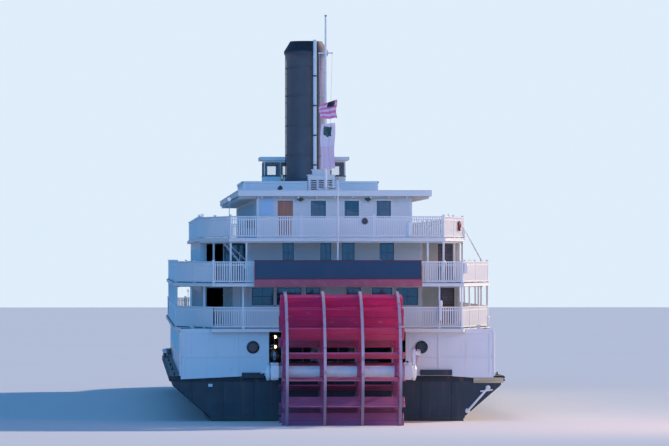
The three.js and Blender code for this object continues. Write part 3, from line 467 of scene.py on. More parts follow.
WORK_LAMP = lamp_glow("work_lamp", (1.0, 0.85, 0.45), 3.0)
ROPE = plain_paint("halyard_rope", "mast_paint", (0.66, 0.62, 0.55), (0.45, 0.41, 0.35), 0.8)
STRIPES = bunting("striped_bunting", "flag_striped", (0.92, 0.62, 0.74), (0.86, 0.20, 0.40), 7,
                  (0.46, 0.80, 0.74, 1.2), (0.02, 0.03, 0.05))
BANDS = bunting("banded_bunting", "flag_plain", (0.92, 0.76, 0.80), (0.90, 0.64, 0.72), 2,
                (0.18, 0.72, 0.80, 0.97), (0.02, 0.085, 0.075))

# The solids' own finishes
DECK_NAMES = ("saloon", "observation", "texas")
WALL_NAMES = ("port", "starboard", "aft", "fore")
SOLID_FINISHES = {
    GUARD: ["main_deck"],
    PROMENADE: [f"{deck}_deck" for deck in DECK_NAMES],
    HULL: ["hull", "bow_bulwark"],
    PLATE: ["main_house_port", "main_house_starboard", "main_house_fore", "wheel_timber_port",
            "wheel_timber_starboard", "stern_beam", "boarding_door_port", "boarding_door_starboard"],
    SIDING: [f"{deck}_wall_{wall}" for deck in DECK_NAMES for wall in WALL_NAMES]
    + ["trunk", "vent_house", "pilothouse"],
    ROOF: ["texas_roof", "pilothouse_roof"],
    GLOSS_WHITE: ["steam_pipe", "mast", "flagstaff", "wheel_shaft"],
    NAVY: ["sign_board"],
    IRON: ["boilers"],
    BOTTOM: ["rudder_port", "rudder_middle", "rudder_starboard"],
    CRIMSON: ["paddle_wheel"],
    ORANGE_DOOR: ["texas_door"],
    FUNNEL: ["funnel"],
    STERN_PLATE: ["stern_walls"],
    STRIPES: ["flag_upper"],
    BANDS: ["flag_lower"],
    RAILING: ["texas_deck_posts"] + [f"{deck}_rail_{wall}" for deck in DECK_NAMES for wall in WALL_NAMES],
}
for finish, nodes in SOLID_FINISHES.items():
    for node in nodes:
        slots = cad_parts[node].data.materials
        slots.clear()
        slots.append(finish.material)


# Mesh helpers

PIECES = []


def piece(name, finish, body="ship", replaces=(), crease=40):
    """An empty shape to be filled. built() turns it into an object at the end."""
    bm = bmesh.new()
    PIECES.append((bm, name, finish, body, replaces, crease))
    return bm


def built(bm, name, finish, body, replaces, crease):
    """The object made of a shape, in its finish and riding on its body."""
    bmesh.ops.recalc_face_normals(bm, faces=bm.faces)
    bm.transform(SHIP_TO_FRAME)
    mesh = bpy.data.meshes.new(name)
    bm.to_mesh(mesh)
    bm.free()
    mesh.shade_smooth()
    mesh.set_sharp_from_angle(angle=math.radians(crease))
    mesh.materials.append(finish.material)
    made = bpy.data.objects.new(name, mesh)
    bpy.context.scene.collection.objects.link(made)
    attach(made, body)
    if replaces:
        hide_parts(*replaces)
    return made


def block(bm, x0, x1, y0, y1, z0, z1, ease=0.0, at=IDENTITY):
    """A box between limits, its edges eased by a bevel."""
    size = Matrix.Diagonal((abs(x1 - x0), y1 - y0, z1 - z0, 1))
    middle = Matrix.Translation(((x0 + x1) / 2, (y0 + y1) / 2, (z0 + z1) / 2))
    corners = bmesh.ops.create_cube(bm, size=1, matrix=at @ middle @ size)["verts"]
    if ease:
        edges = list({edge for corner in corners for edge in corner.link_edges})
        bmesh.ops.bevel(bm, geom=edges, offset=ease, segments=1, affect="EDGES", profile=0.5, material=-1)


def rod(bm, start, end, radius, sides=12, end_radius=None, at=IDENTITY):
    """A round bar between two points, tapering where end_radius is given."""
    start, end = Vector(start), Vector(end)
    turn = (end - start).to_track_quat("Z", "Y").to_matrix().to_4x4()
    bmesh.ops.create_cone(
        bm, cap_ends=True, cap_tris=False, segments=sides, radius1=radius,
        radius2=radius if end_radius is None else end_radius, depth=(end - start).length,
        matrix=at @ Matrix.Translation((start + end) / 2) @ turn,
    )


def ball(bm, centre, radius, rings=8):
    place = Matrix.Translation(centre)
    bmesh.ops.create_uvsphere(bm, u_segments=2 * rings, v_segments=rings, radius=radius, matrix=place)


def turned(bm, profile, centre, axis=UP, out=ABEAM, steps=32, closed=False):
    """A profile of radius and height spun round an axis through centre."""
    before = len(bm.verts)
    centre, axis, out = Vector(centre), Vector(axis), Vector(out)
    corners = [bm.verts.new(centre + out * radius + axis * height) for radius, height in profile]
    ends = corners[1:] + corners[:1] if closed else corners[1:]
    lines = [bm.edges.new(pair) for pair in zip(corners, ends)]
    bmesh.ops.spin(
        bm, geom=corners + lines, cent=centre, axis=axis, dvec=(0, 0, 0), angle=2 * math.pi,
        steps=steps, use_merge=True, use_normal_flip=False, use_duplicate=False,
    )
    if not closed:
        bmesh.ops.remove_doubles(bm, verts=list(bm.verts)[before:], dist=0.001)


def prism(bm, outline, low, high, at=IDENTITY):
    """An outline in X and Y raised from one level to another."""
    face = bm.faces.new([bm.verts.new(at @ Vector((x, y, low))) for x, y in outline])
    grown = bmesh.ops.extrude_face_region(bm, geom=[face])["geom"]
    lifted = [part for part in grown if isinstance(part, bmesh.types.BMVert)]
    bmesh.ops.translate(bm, verts=lifted, vec=at.to_3x3() @ Vector((0, 0, high - low)))


def bars(bm, places, half, y0, y1, z0, z1, ease=0.0, at=IDENTITY):
    """Upright bars at places along X."""
    for x in places:
        block(bm, x - half, x + half, y0, y1, z0, z1, ease, at)


def battens(bm, levels, half, x0, x1, y0, y1, ease=0.0, at=IDENTITY):
    """Level bars at heights one above another."""
    for z in levels:
        block(bm, x0, x1, y0, y1, z - half, z + half, ease, at)


def around(count, upright=False):
    """Unit vectors spread evenly round a circle, lying flat or upright across the ship."""
    turns = [number * 2 * math.pi / count for number in range(count)]
    return [
        Vector((math.cos(turn), 0, math.sin(turn)) if upright else (math.cos(turn), math.sin(turn), 0))
        for turn in turns
    ]


def along(a, b):
    """The matrix that lays X along the line from a to b, and the line's length."""
    a, b = Vector((*a, 0)), Vector((*b, 0))
    turn = Matrix.Rotation(math.atan2(b.y - a.y, b.x - a.x), 4, "Z")
    return Matrix.Translation(a) @ turn, (b - a).length


def runs(line, closed=True):
    """along() for each stretch of a line."""
    return [along(a, b) for a, b in zip(line, line[1:] + line[:1] if closed else line[1:])]


def wall_frame(across, out, place):
    """Local X runs along a wall, local Y points out of it and Z stays up."""
    return Matrix.Translation(place) @ Matrix((across, out, UP)).transposed().to_4x4()


def side_wall(sign, half):
    return wall_frame(FORE, (sign, 0, 0), (sign * half, 0, 0))


def aft_wall(y):
    return wall_frame(ABEAM, AFT, (0, y, 0))


def fore_wall(y):
    return wall_frame(ABEAM, FORE, (0, y, 0))


def oval(half, centre_y, depth, steps):
    """Points round the bow from starboard to port."""
    turns = [math.pi * step / steps for step in range(steps + 1)]
    return [(half * math.cos(turn), centre_y + depth * math.sin(turn)) for turn in turns]


# Railings: posts, three rails and close pickets

RAIL_INSET = 14
RAIL_HEIGHT = 112
POST = 9
POST_SPACING = 480
PICKET_PITCH = 12
PICKET_WIDTH = 6.4
PICKET_THICKNESS = 3
STERN_POSTS = {
    # shares of the port shoulder, the stern and the starboard shoulder where posts stand
    True: ([0, 0.4, 0.76], [0.12, 0.91, 1], [0.3, 0.65, 1]),
    False: ([0, 0.5, 1], [0.33, 0.67], [0, 0.5, 1]),
}


def post(bm, x, floor, head, at, roofed=False):
    """A square post with a foot and a cap."""
    half, foot = POST / 2, 6.5
    block(bm, x - half, x + half, -half, half, floor, head, 0.8, at)
    for low, high in ((floor, floor + 9), (head - 5, head - 1 if roofed else head + 1)):
        block(bm, x - foot, x + foot, -foot, foot, low, high, 1, at)


def bracket(bm, x, top, sign, at):
    """A knee in the corner between a post and the deck above."""
    outline = [(0, 0), (22, 0), (20, -4), (9, -9), (4, -20), (0, -22)]
    upright = at @ Matrix.Translation((x, 1.5, top)) @ Matrix.Rotation(math.pi / 2, 4, "X")
    prism(bm, [(sign * u, v) for u, v in outline], 0, 3, upright)


def rail_run(bm, a, b, floor, ceiling, roofed, shares=None):
    """One straight railing. The posts stand at the given shares of its length, or evenly."""
    at, length = along(a, b)
    top = floor + RAIL_HEIGHT
    foot, middle, head = (4, floor + 5, floor + 12, 1), (2.5, top - 21, top - 16, 0), (5.5, top - 6, top, 1.8)
    for half, low, high, ease in (foot, middle, head):
        block(bm, 0, length, -half, half, low, high, ease, at)
    bays = max(1, round(length / POST_SPACING))
    stations = [length * share for share in shares or [bay / bays for bay in range(bays + 1)]]
    for station in stations:
        post(bm, station, floor, ceiling if roofed else top + 7, at, roofed)
        for sign in SIDES if roofed and not shares else ():
            if 0 <= station + sign * 40 <= length:
                bracket(bm, station + sign * POST / 2, ceiling, sign, at)
    ends = sorted({0, length, *stations})
    half, thick = PICKET_WIDTH / 2, PICKET_THICKNESS / 2
    for left, right in zip(ends, ends[1:]):
        count = round((right - left - POST) / PICKET_PITCH)
        pitch = (right - left - POST) / count
        middles = [left + POST / 2 + (number + 0.5) * pitch for number in range(count)]
        bars(bm, middles, half, -thick, thick, floor + 7, top - 4, 0, at)


def railings(deck, plan, top, above=None):
    """The four railings round a deck. The posts reach up where the deck above covers them."""
    floor = top + GAP
    ceiling = above[0] - DECK_THICKNESS - GAP if above else 0
    line = plan["half"] - RAIL_INSET
    start, fore_end = plan["full"] + POST, plan["bow"] - POST
    for name, sign in NAMED_SIDES:
        bm = piece(f"{deck}_railing_{name}", RAILING, replaces=[f"{deck}_rail_{name}"])
        x = sign * line
        roof_end = min(above[1]["bow"], fore_end) if above else start
        if above:
            rail_run(bm, (x, start), (x, roof_end), floor, ceiling, True)
        if roof_end < fore_end:
            rail_run(bm, (x, roof_end), (x, fore_end), floor, ceiling, False)
    bm = piece(f"{deck}_railing_aft", RAILING, replaces=[f"{deck}_rail_aft"])
    corner = plan["stern_half"] - RAIL_INSET / 2
    stern, full = plan["stern"] + RAIL_INSET, plan["full"] - POST
    corners = [(-line, full), (-corner, stern), (corner, stern), (line, full)]
    for a, b, shares in zip(corners, corners[1:], STERN_POSTS[bool(above)]):
        rail_run(bm, a, b, floor, ceiling, bool(above), shares)
    bm = piece(f"{deck}_railing_fore", RAILING, replaces=[f"{deck}_rail_fore"])
    bow = oval(line, plan["bow"] + POST, plan["tip"] - plan["bow"] - RAIL_INSET - POST, 12)
    for a, b in zip(bow, bow[1:]):
        rail_run(bm, a, b, floor, ceiling, False)


def texas_posts():
    """Posts and header under the stern of the texas deck."""
    bm = piece("texas_post_frame", RAILING, replaces=["texas_deck_posts"])
    floor, header = OBSERVATION_DECK + GAP, 10
    ceiling = OBSERVATION_CEILING - GAP
    side, corner, full = TEXAS_PLAN["half"] - 16, TEXAS_PLAN["stern_half"] - 8, TEXAS_PLAN["full"]
    line = [(-side, full), (-corner, 16), (corner, 16), (side, full)]
    inset = 82 / (2 * corner)
    shares = [[0, 0.45, 1], [inset, 1 - inset], [0, 0.55, 1]]
    for (at, length), stops in zip(runs(line, closed=False), shares):
        block(bm, 0, length, -4, 4, ceiling - header, ceiling, 0.8, at)
        for share in stops:
            post(bm, share * length, floor, ceiling - header, at, True)


railings("saloon", SALOON_PLAN, SALOON_DECK, (OBSERVATION_DECK, OBSERVATION_PLAN))
railings("observation", OBSERVATION_PLAN, OBSERVATION_DECK)
railings("texas", TEXAS_PLAN, TEXAS_DECK)
texas_posts()


# Deck edges and the joists under them

JOIST_PITCH = 120


def deck_edge(name, plan, top):
    """A half-round nosing along a deck's upper edge and a drip bead below it."""
    bm = piece(f"{name}_nosing", TRIM)
    bow = oval(plan["half"], plan["bow"], plan["tip"] - plan["bow"], 24)
    corner, stern, full = plan["stern_half"], plan["stern"], plan["full"]
    outline = [(-corner, stern), (corner, stern), (plan["half"], full), *bow, (-plan["half"], full)]
    under = top - DECK_THICKNESS
    for at, length in runs(outline):
        rod(bm, (-1, 0, top - 3.5), (length + 1, 0, top - 3.5), 3.2, 8, at=at)
        block(bm, -1, length + 1, -1.8, 1.8, under - 2, under + 2.5, 0, at)


def deck_joists(name, plan, top, house_half, from_y, to_y):
    """Joists under the overhang of a deck, from the house to a carrier near the edge."""
    bm = piece(f"{name}_joists", TRIM)
    under, edge = top - DECK_THICKNESS, plan["half"] - 24
    for y in range(from_y, to_y + 1, JOIST_PITCH):
        for sign in SIDES:
            block(bm, sign * (house_half + 1), sign * edge, y - 3, y + 3, under - 9, under - 0.2)
    for sign in SIDES:
        block(bm, sign * (edge - 6), sign * edge, from_y - 3, to_y + 3, under - 11, under - 0.2, 0.6)


for name, plan, top in (
    ("saloon_deck", SALOON_PLAN, SALOON_DECK),
    ("observation_deck", OBSERVATION_PLAN, OBSERVATION_DECK),
    ("texas_deck", TEXAS_PLAN, TEXAS_DECK),
):
    deck_edge(name, plan, top)
deck_joists("saloon_deck", SALOON_PLAN, SALOON_DECK, MAIN_HALF, 720, 6240)
deck_joists("observation_deck", OBSERVATION_PLAN, OBSERVATION_DECK, CABIN_HALF, 930, 5820)


# Windows: casings, sashes and panes

CASING = 8
SASH = 3.5


def casing(bm, at, left, right, low, high, back):
    """Two jambs and a head round an opening, reaching back into the wall."""
    for x0, x1 in ((left - CASING, left), (right, right + CASING)):
        block(bm, x0, x1, back, 3, low, high + CASING, 0, at)
    block(bm, left, right, back, 3, high, high + CASING, 0, at)


def window(trim, glass, at, left, right, low, high, sash=None):
    """A casing with a sill and a cap, a sash with its bars, and the pane."""
    sash = sash or trim
    casing(trim, at, left, right, low - CASING, high, -1)
    top = high + CASING
    block(trim, left - CASING - 3, right + CASING + 3, -1, 5, top, top + 3.5, 0, at)
    block(trim, left - CASING - 4, right + CASING + 4, -8, 8, low - 6, low + 0.5, 0, at)
    for x0, x1 in ((left, left + SASH), (right - SASH, right)):
        block(sash, x0, x1, -9, -4, low, high, 0, at)
    for z0, z1 in ((low, low + SASH), (high - SASH, high)):
        block(sash, left + SASH, right - SASH, -9, -4, z0, z1, 0, at)
    battens(sash, [(low + high) / 2], 1.5, left, right, -8.5, -4.5, 0, at)
    bars(sash, [left + (right - left) / 2], 1.2, -8, -5, low, high, 0, at)
    block(glass, left, right, -7.5, -6, low, high, 0, at)


def doorway(trim, at, left, right, low, high):
    """The casing of an open doorway, with its threshold and cap."""
    casing(trim, at, left, right, low - 1, high, -WALL - 1)
    top = high + CASING
    block(trim, left - CASING - 3, right + CASING + 3, -1, 6, top, top + 4, 0.8, at)
    block(trim, left, right, -WALL - 1, 4, low - 4, low + 0.5, 0.8, at)


MAIN_WINDOWS = [y for y in range(1260, 6201, 340) if abs(y - 3300) > 130]
HOUSES = [
    # name, floor, half width, centres along the side, window's half width, low and high above the floor
    ("main", MAIN_DECK, MAIN_HALF, MAIN_WINDOWS, 45, 105, 185),
    ("saloon", SALOON_DECK, CABIN_HALF, range(1100, 5801, 300), 60, 75, 180),
    ("observation", OBSERVATION_DECK, CABIN_HALF, range(1100, 5501, 300), 60, 75, 180),
    ("texas", TEXAS_DECK, TEXAS_HALF, range(620, 5351, 280), 45, 95, 190),
]
STERN_WINDOWS = {
    # wall's face, left and right of each, low and high
    "saloon": (
        CABIN_STERN, [(-436, -322), (-306, -176), (-152, -78), (60, 135), (193, 300), (322, 436)], 828, 920
    ),
    "observation": (CABIN_STERN, [(-275, -216), (-77, -20), (35, 102), (234, 309)], 1050, 1155),
    "texas": (TEXAS_STERN, [(-124, -44), (54, 130), (223, 298)], 1285, 1376),
}
FORE_WINDOWS = {
    # centres and half width; they are as high as those along the sides
    "main": ((-560, -330, 330, 560), 50),
    "saloon": ((-440, -220, 220, 440), 60),
    "observation": ((-440, -220, 220, 440), 60),
    "texas": ((-270, 270), 60),
}
FORE_DOOR_HALVES = {"main": 70, "saloon": 55, "observation": 55}
DOOR_LOW, FORE_DOOR_HIGH, SHOULDER_DOOR_HIGH = 12, 200, 205

for name, floor, half, centres, half_width, low, high in HOUSES:
    trim = piece(f"{name}_window_frames", TRIM)
    glass = piece(f"{name}_panes", DARK_GLASS)
    for sign in SIDES:
        for y in centres:
            window(trim, glass, side_wall(sign, half), y - half_width, y + half_width, floor + low, floor + high)
    at = fore_wall(FORE_WALLS[name])
    places, half_width = FORE_WINDOWS[name]
    for x in places:
        window(trim, glass, at, x - half_width, x + half_width, floor + low, floor + high)
    if name in FORE_DOOR_HALVES:
        door = FORE_DOOR_HALVES[name]
        doorway(trim, at, -door, door, floor + DOOR_LOW, floor + FORE_DOOR_HIGH)
    if name in STERN_WINDOWS:
        sashes = piece(f"{name}_stern_sashes", GREY_SASH)
        face, places, low, high = STERN_WINDOWS[name]
        for left, right in places:
            window(trim, glass, aft_wall(face), left, right, low, high, sashes)
    if name in ("saloon", "observation"):
        for left, right in ((575, 664), (-664, -575)):
            doorway(trim, aft_wall(SHOULDER_WALL), left, right, floor + DOOR_LOW, floor + SHOULDER_DOOR_HIGH)


# Sign board's border, and the fascia below it

FASCIA_HEIGHT = 38


def sign_trim():
    low, high = limits("sign_board")
    face, x0, x1, z1 = low.y, low.x, high.x, high.z
    split = low.z + FASCIA_HEIGHT
    border = piece("sign_border", MAROON)
    for z0, z2 in ((z1 - 5, z1), (split, split + 4)):
        block(border, x0, x1, face - 3, face + 1, z0, z2, 0.8)
    for left in (x0, x1 - 5):
        block(border, left, left + 5, face - 3, face + 1, split, z1, 0.8)
    fascia = piece("sign_fascia", MAUVE)
    block(fascia, x0 - 1, x1 + 1, face - 2.5, face + 1, low.z, split, 1)


sign_trim()


# Paddle wheel

WHEEL_Y = -460
WHEEL_Z = 495
HUB = (0, WHEEL_Y, WHEEL_Z)
BOARD_COUNT = 18
PITCH = 2 * math.pi / BOARD_COUNT
REST_PHASE = PITCH / 4
FRAME_XS = (-285, -95, 95, 285)


def wheel_arm(turn):
    """Local X points out along an arm, local Y round the wheel and local Z along the shaft."""
    turned_frame = Matrix(((0, 0, 1, 0), (1, 0, 0, 0), (0, 1, 0, 0), (0, 0, 0, 1)))
    return Matrix.Translation(HUB) @ Matrix.Rotation(turn, 4, "X") @ turned_frame


def wheel():
    boards = piece("wheel_boards", CRIMSON, "wheel")
    arms = piece("wheel_arms", CRIMSON, "wheel", replaces=["paddle_wheel"])
    rims = piece("wheel_rims", RIM, "wheel")
    bolts = piece("wheel_bolts", IRON, "wheel")
    for number in range(BOARD_COUNT):
        at = wheel_arm(number * PITCH + REST_PHASE)
        for inner, outer in ((290, 341), (344, 395)):
            block(boards, inner, outer, -4, 4, -309, 309, 1, at)
        for x in FRAME_XS:
            block(arms, 56, 404, -7.5, 7.5, x - 6, x + 6, 1.2, at)
            block(arms, 300, 390, 4, 7, x - 14, x - 6, 0.8, at)
            for radius in (304, 328, 358, 382):
                rod(bolts, (radius, 4, x + 10), (radius, 6.4, x + 10), 2.6, 6, at=at)
            for sign in SIDES:
                for radius in (58, 214, 396):
                    rod(bolts, (radius, 0, x + sign * 5), (radius, 0, x + sign * 8.4), 3, 6, at=at)
    rim = [(390, -7), (410, -7), (410, 7), (390, 7)]
    ring = [(203, -6), (225, -6), (225, 6), (203, 6)]
    hub = [(32, -14), (52, -14), (54, -10), (64, -10), (64, 10), (54, 10), (52, 14), (32, 14)]
    for x in FRAME_XS:
        turned(rims, rim, (x, WHEEL_Y, WHEEL_Z), ABEAM, FORE, 72, True)
        turned(arms, hub, (x, WHEEL_Y, WHEEL_Z), ABEAM, FORE, 28, True)
    for x in (FRAME_XS[0], FRAME_XS[-1]):
        turned(arms, ring, (x, WHEEL_Y, WHEEL_Z), ABEAM, FORE, 54, True)


def wheel_shaft():
    """The shaft with its collars, and the two cranks a quarter turn apart."""
    bm = piece("turned_shaft", GLOSS_WHITE, "wheel", replaces=["wheel_shaft"])
    half = [(0, 0), (31, 0), (31, 268), (34, 270), (34, 300), (31, 302), (31, 381), (28, 384), (0, 384)]
    boss = [(0, 364), (42, 364), (44, 366), (44, 378), (42, 380), (0, 380)]
    crank = [(0, -20), (84, -16), (104, -12), (115, 0), (104, 12), (84, 16), (0, 20)]
    for sign, lean in ((-1, 0), (1, math.pi / 2)):
        for profile in (half, boss):
            turned(bm, profile, HUB, (sign, 0, 0), FORE, 40)
        at = wheel_arm(lean)
        low, high = sorted((sign * 364, sign * 380))
        prism(bm, crank, low, high, at)
        rod(bm, (95, 0, sign * 376), (95, 0, sign * 404), 10, 20, at=at)
        rod(bm, (95, 0, sign * 402), (95, 0, sign * 406), 12.5, 20, at=at)


wheel()
wheel_shaft()


# Funnel, with its ladder, bands, pipe clips and whistle

FUNNEL_Y = 4750
PIPE_X, PIPE_Y = 48, 4608
WHISTLE_X, WHISTLE_Y = -150, 4640


def funnel():
    base = TRUNK_ROOF + GAP
    profile = [
        # radius, height
        (0, base), (132, base), (132, 1550), (128, 1554), (122, 1560), (122, 2288), (126, 2300), (134, 2316),
        (135, 2320), (135, 2334), (132, 2338), (99, 2392), (97, 2395), (92, 2395), (90, 2392), (90, 2240), (0, 2240),
    ]
    turned(piece("funnel_shell", FUNNEL, replaces=["funnel"]), profile, (0, FUNNEL_Y, 0), steps=64)
    bands = piece("funnel_bands", FUNNEL)
    for z in (1700, 1880, 2060, 2230):
        centre = Vector((0, FUNNEL_Y, z))
        turned(bands, [(121, -6), (124, -5), (124, 5), (121, 6)], centre, steps=64, closed=True)
        for out in around(32):
            rod(bands, centre + out * 123, centre + out * 125.6, 2.2, 6)


def funnel_gear():
    iron = piece("funnel_irons", IRON)
    rail_ys = (FUNNEL_Y - 11, FUNNEL_Y + 11)
    for y in rail_ys:
        rod(iron, (-126, y, 1545), (-126, y, 2330), 2, 8)
    for z in range(1560, 2301, 20):
        rod(iron, (-126, rail_ys[0], z), (-126, rail_ys[1], z), 1.5, 6)
    for z in range(1580, 2285, 88):
        for y in rail_ys:
            rod(iron, (-126, y, z), (-118, y, z), 1.8, 6)
    collar = [(131, 1531), (139, 1531), (139, 1536), (134, 1541), (131, 1541)]
    turned(iron, collar, (0, FUNNEL_Y, 0), steps=64, closed=True)
    for z in (1640, 1820, 2000, 2180):
        rod(iron, (PIPE_X, PIPE_Y + 8, z), (PIPE_X, PIPE_Y + 32, z), 3, 8)
        turned(iron, [(9.5, -4), (12.5, -4), (12.5, 4), (9.5, 4)], (PIPE_X, PIPE_Y, z), steps=20, closed=True)
    whistle = piece("whistle", BRASS)
    rod(whistle, (WHISTLE_X, WHISTLE_Y, TRUNK_ROOF), (WHISTLE_X, WHISTLE_Y, 1546), 4, 12)
    profile = [(0, 0), (7, 0), (9, 3), (9, 8), (5, 10), (5, 14), (9, 15), (9, 36), (7, 40), (3, 42), (0, 46)]
    turned(whistle, profile, (WHISTLE_X, WHISTLE_Y, 1544), steps=20)


funnel()
funnel_gear()


# Hull: the solid's own cross-sections, with stations added between them and the bilge rounded

HULL_SECTIONS = [
    # station, bottom, bilge, knuckle, half width of the bottom, half width of the side
    (0, 200, 222, 250, 600, 655),
    (600, 100, 140, 250, 620, 668),
    (1200, 0, 50, 250, 630, 670),
    (5400, 0, 50, 250, 630, 670),
    (6400, 0, 50, 255, 520, 590),
    (7000, 25, 75, 265, 300, 410),
    (7400, 100, 140, 285, 130, 240),
    (7700, 215, 240, 325, 40, 100),
    (7812, 290, 305, 350, 18, 44),
]
HULL_TOP = top_of("hull")
TOP_STRAKE = 16
GUARD_HALF, STEM_Y = (round(value) for value in limits("main_deck")[1].xy)
GUARD_INSET = 15
STEM_HALF = 90
SHOULDER_Y = 5800
BOW_FULLNESS_Y = 7300
STATIONS = [*range(0, 1201, 120), *range(1900, 5400, 700), *range(5400, 7800, 80), 7812]


def guard_point(share):
    """Half width and station of the main deck's edge, from the shoulder to the stem."""
    back = 1 - share
    half = (back * back + 2 * share * back) * GUARD_HALF + share * share * STEM_HALF
    station = back * back * SHOULDER_Y + 2 * share * back * BOW_FULLNESS_Y + share * share * STEM_Y
    return half, station


def guard_half(station):
    if station <= SHOULDER_Y:
        return GUARD_HALF
    bend = SHOULDER_Y - 2 * BOW_FULLNESS_Y + STEM_Y
    rise = 2 * (BOW_FULLNESS_Y - SHOULDER_Y)
    share = (math.sqrt(rise * rise - 4 * bend * (SHOULDER_Y - station)) - rise) / (2 * bend)
    return guard_point(share)[0]


def eased(stations, values, at):
    """A table's value between its stations, on a curve that never overshoots them."""
    slopes = [(values[i + 1] - values[i]) / (stations[i + 1] - stations[i]) for i in range(len(values) - 1)]

    def slope_at(i):
        if i in (0, len(values) - 1):
            return slopes[min(i, len(slopes) - 1)]
        before, after = slopes[i - 1], slopes[i]
        return 0 if before * after <= 0 else 2 * before * after / (before + after)

    i = max(k for k in range(len(slopes)) if stations[k] <= at)
    span = stations[i + 1] - stations[i]
    t = (at - stations[i]) / span
    return (
        (1 + 2 * t) * (1 - t) ** 2 * values[i]
        + t * (1 - t) ** 2 * span * slope_at(i)
        + t * t * (3 - 2 * t) * values[i + 1]
        + t * t * (t - 1) * span * slope_at(i + 1)
    )


def hull_section(station):
    """Bottom, bilge, knuckle, bottom half width and side half width at a station."""
    stations, *columns = zip(*HULL_SECTIONS)
    return [eased(stations, column, station) for column in columns]


def hull_ring(station):
    bottom, bilge, knuckle, bottom_half, side_half = hull_section(station)
    top_half = guard_half(station) - GUARD_INSET
    starboard = []
    for step in range(5):
        turn = math.pi / 2 * step / 4
        x = bottom_half + (side_half - bottom_half) * math.sin(turn)
        starboard.append((x, bilge - (bilge - bottom) * math.cos(turn)))
    starboard += [(side_half, knuckle), (top_half, HULL_TOP - TOP_STRAKE), (top_half, HULL_TOP)]
    port = [(-x, z) for x, z in reversed(starboard)]
    return [(x, station, z) for x, z in starboard + port]


def smooth_hull():
    bm = piece("smooth_hull", HULL, replaces=["hull"], crease=24)
    rings = []
    for station in STATIONS:
        corners = [bm.verts.new(point) for point in hull_ring(station)]
        rings.append([bm.edges.new(pair) for pair in zip(corners, corners[1:] + corners[:1])])
    for ring, following in zip(rings, rings[1:]):
        bmesh.ops.bridge_loops(bm, edges=ring + following)
    for ring in (rings[0], rings[-1]):
        bmesh.ops.contextual_create(bm, geom=ring)


def guard_line(outward, start=0.0):
    """The main deck's edge from starboard aft round the bow to port, moved outward."""
    starboard = [(GUARD_HALF, start), *(guard_point(step / 16) for step in range(17))]
    starboard = [(x + outward, y + outward * step / 17) for step, (x, y) in enumerate(starboard)]
    return starboard + [(-x, y) for x, y in reversed(starboard)]


def hull_timbers():
    """Fender mouldings round the guard, ribs under it and a rubbing strake along the knuckle."""
    bm = piece("guard_timbers", GUARD)
    for z in (457, 442):
        for at, length in runs(guard_line(0.5), closed=False):
            rod(bm, (-1, 0, z), (length + 1, 0, z), 5.5, 8, at=at)
    for station in range(60, 7400, 160):
        knuckle, _, side_half = hull_section(station)[2:]
        top_half = guard_half(station) - GUARD_INSET
        for sign in SIDES:
            low = (sign * (side_half + 1), station, knuckle + 2)
            rod(bm, low, (sign * (top_half + 1), station, HULL_TOP - TOP_STRAKE), 5, 6)
    for ends in zip(STATIONS, STATIONS[1:]):
        for sign in SIDES:
            start, end = [(sign * (hull_section(y)[4] + 1), y, hull_section(y)[2]) for y in ends]
            rod(bm, start, end, 6, 8)


def transom_fittings():
    """Straps, a fender plank, a brace, a chock and low black timbers across the stern."""
    iron = piece("transom_irons", HULL)
    for x, low in ((-760, 330), (-600, 225), (-440, 225), (440, 225), (600, 225)):
        bars(iron, [x], 7, -5, 1, low, 434, 1)
        for z in range(low + 18, 430, 40):
            rod(iron, (x, -5, z), (x, -8, z), 3.2, 6)
    block(iron, -600, 600, -4, 1, 222, 236, 1)
    for x0, x1, z0, z1 in ((-495, -380, 453, 482), (430, 595, 468, 496)):
        block(iron, x0, x1, -16, 0, z0, z1, 2)
    block(piece("fender_plank", TIMBER), 706, 862, -7, 1, 427, 455, 2)
    brace = piece("stern_brace", GLOSS_WHITE)
    rod(brace, (782, -10, 402), (676, -10, 283), 6, 10)
    rod(brace, (806, -9, 392), (742, -9, 384), 4, 8)
    for x, z in ((782, 402), (676, 283)):
        turned(brace, [(0, 0), (13, 0), (13, 5), (9, 8), (0, 8)], (x, -1, z), AFT, ABEAM, 16)
    block(brace, -668, -646, -14, 0, 408, 424, 1.5)
    rod(brace, (-657, -14, 416), (-657, -20, 416), 4, 10)


smooth_hull()
hull_timbers()
transom_fittings()


# Bulwark, foredeck and guard gear

CAPSTAN = (0, 7080, MAIN_DECK)
STAFF_Y = 7600
FAIRLEAD_Y = 7420


def bulwark_cap():
    bm = piece("bulwark_cap", TRIM)
    top = top_of("bow_bulwark")
    line = guard_line(-7, start=5000)
    for a, b in zip(line, line[1:]):
        if max(abs(a[0]), abs(b[0])) >= STEM_HALF:
            at, length = along(a, b)
            block(bm, -1.5, length + 1.5, -11, 11, top - 1, top + 5, 1.5, at)
    for sign in SIDES:
        for y in range(5080, 7600, 150):
            bars(bm, [sign * (guard_half(y) - 19)], 4, y - 4, y + 4, MAIN_DECK, top - 1, 0.8)
    block(bm, -STEM_HALF, STEM_HALF, STEM_Y - 24, STEM_Y - 2, top - 1, top + 5, 1.5)


def bitts(bm, x, y):
    """Two mooring posts with flared heads on a bed plate, along the ship."""
    at = Matrix.Translation((x, y, MAIN_DECK)) @ Matrix.Rotation(math.pi / 2, 4, "Z")
    block(bm, -34, 34, -13, 13, 0, 5, 1.5, at)
    profile = [(0, 4), (9, 4), (8, 12), (8, 34), (11, 38), (11, 43), (8, 46), (0, 46)]
    for side in SIDES:
        turned(bm, profile, at @ Vector((side * 20, 0, 0)), steps=16)
    rod(bm, (-28, 0, 24), (28, 0, 24), 4, 10, at=at)


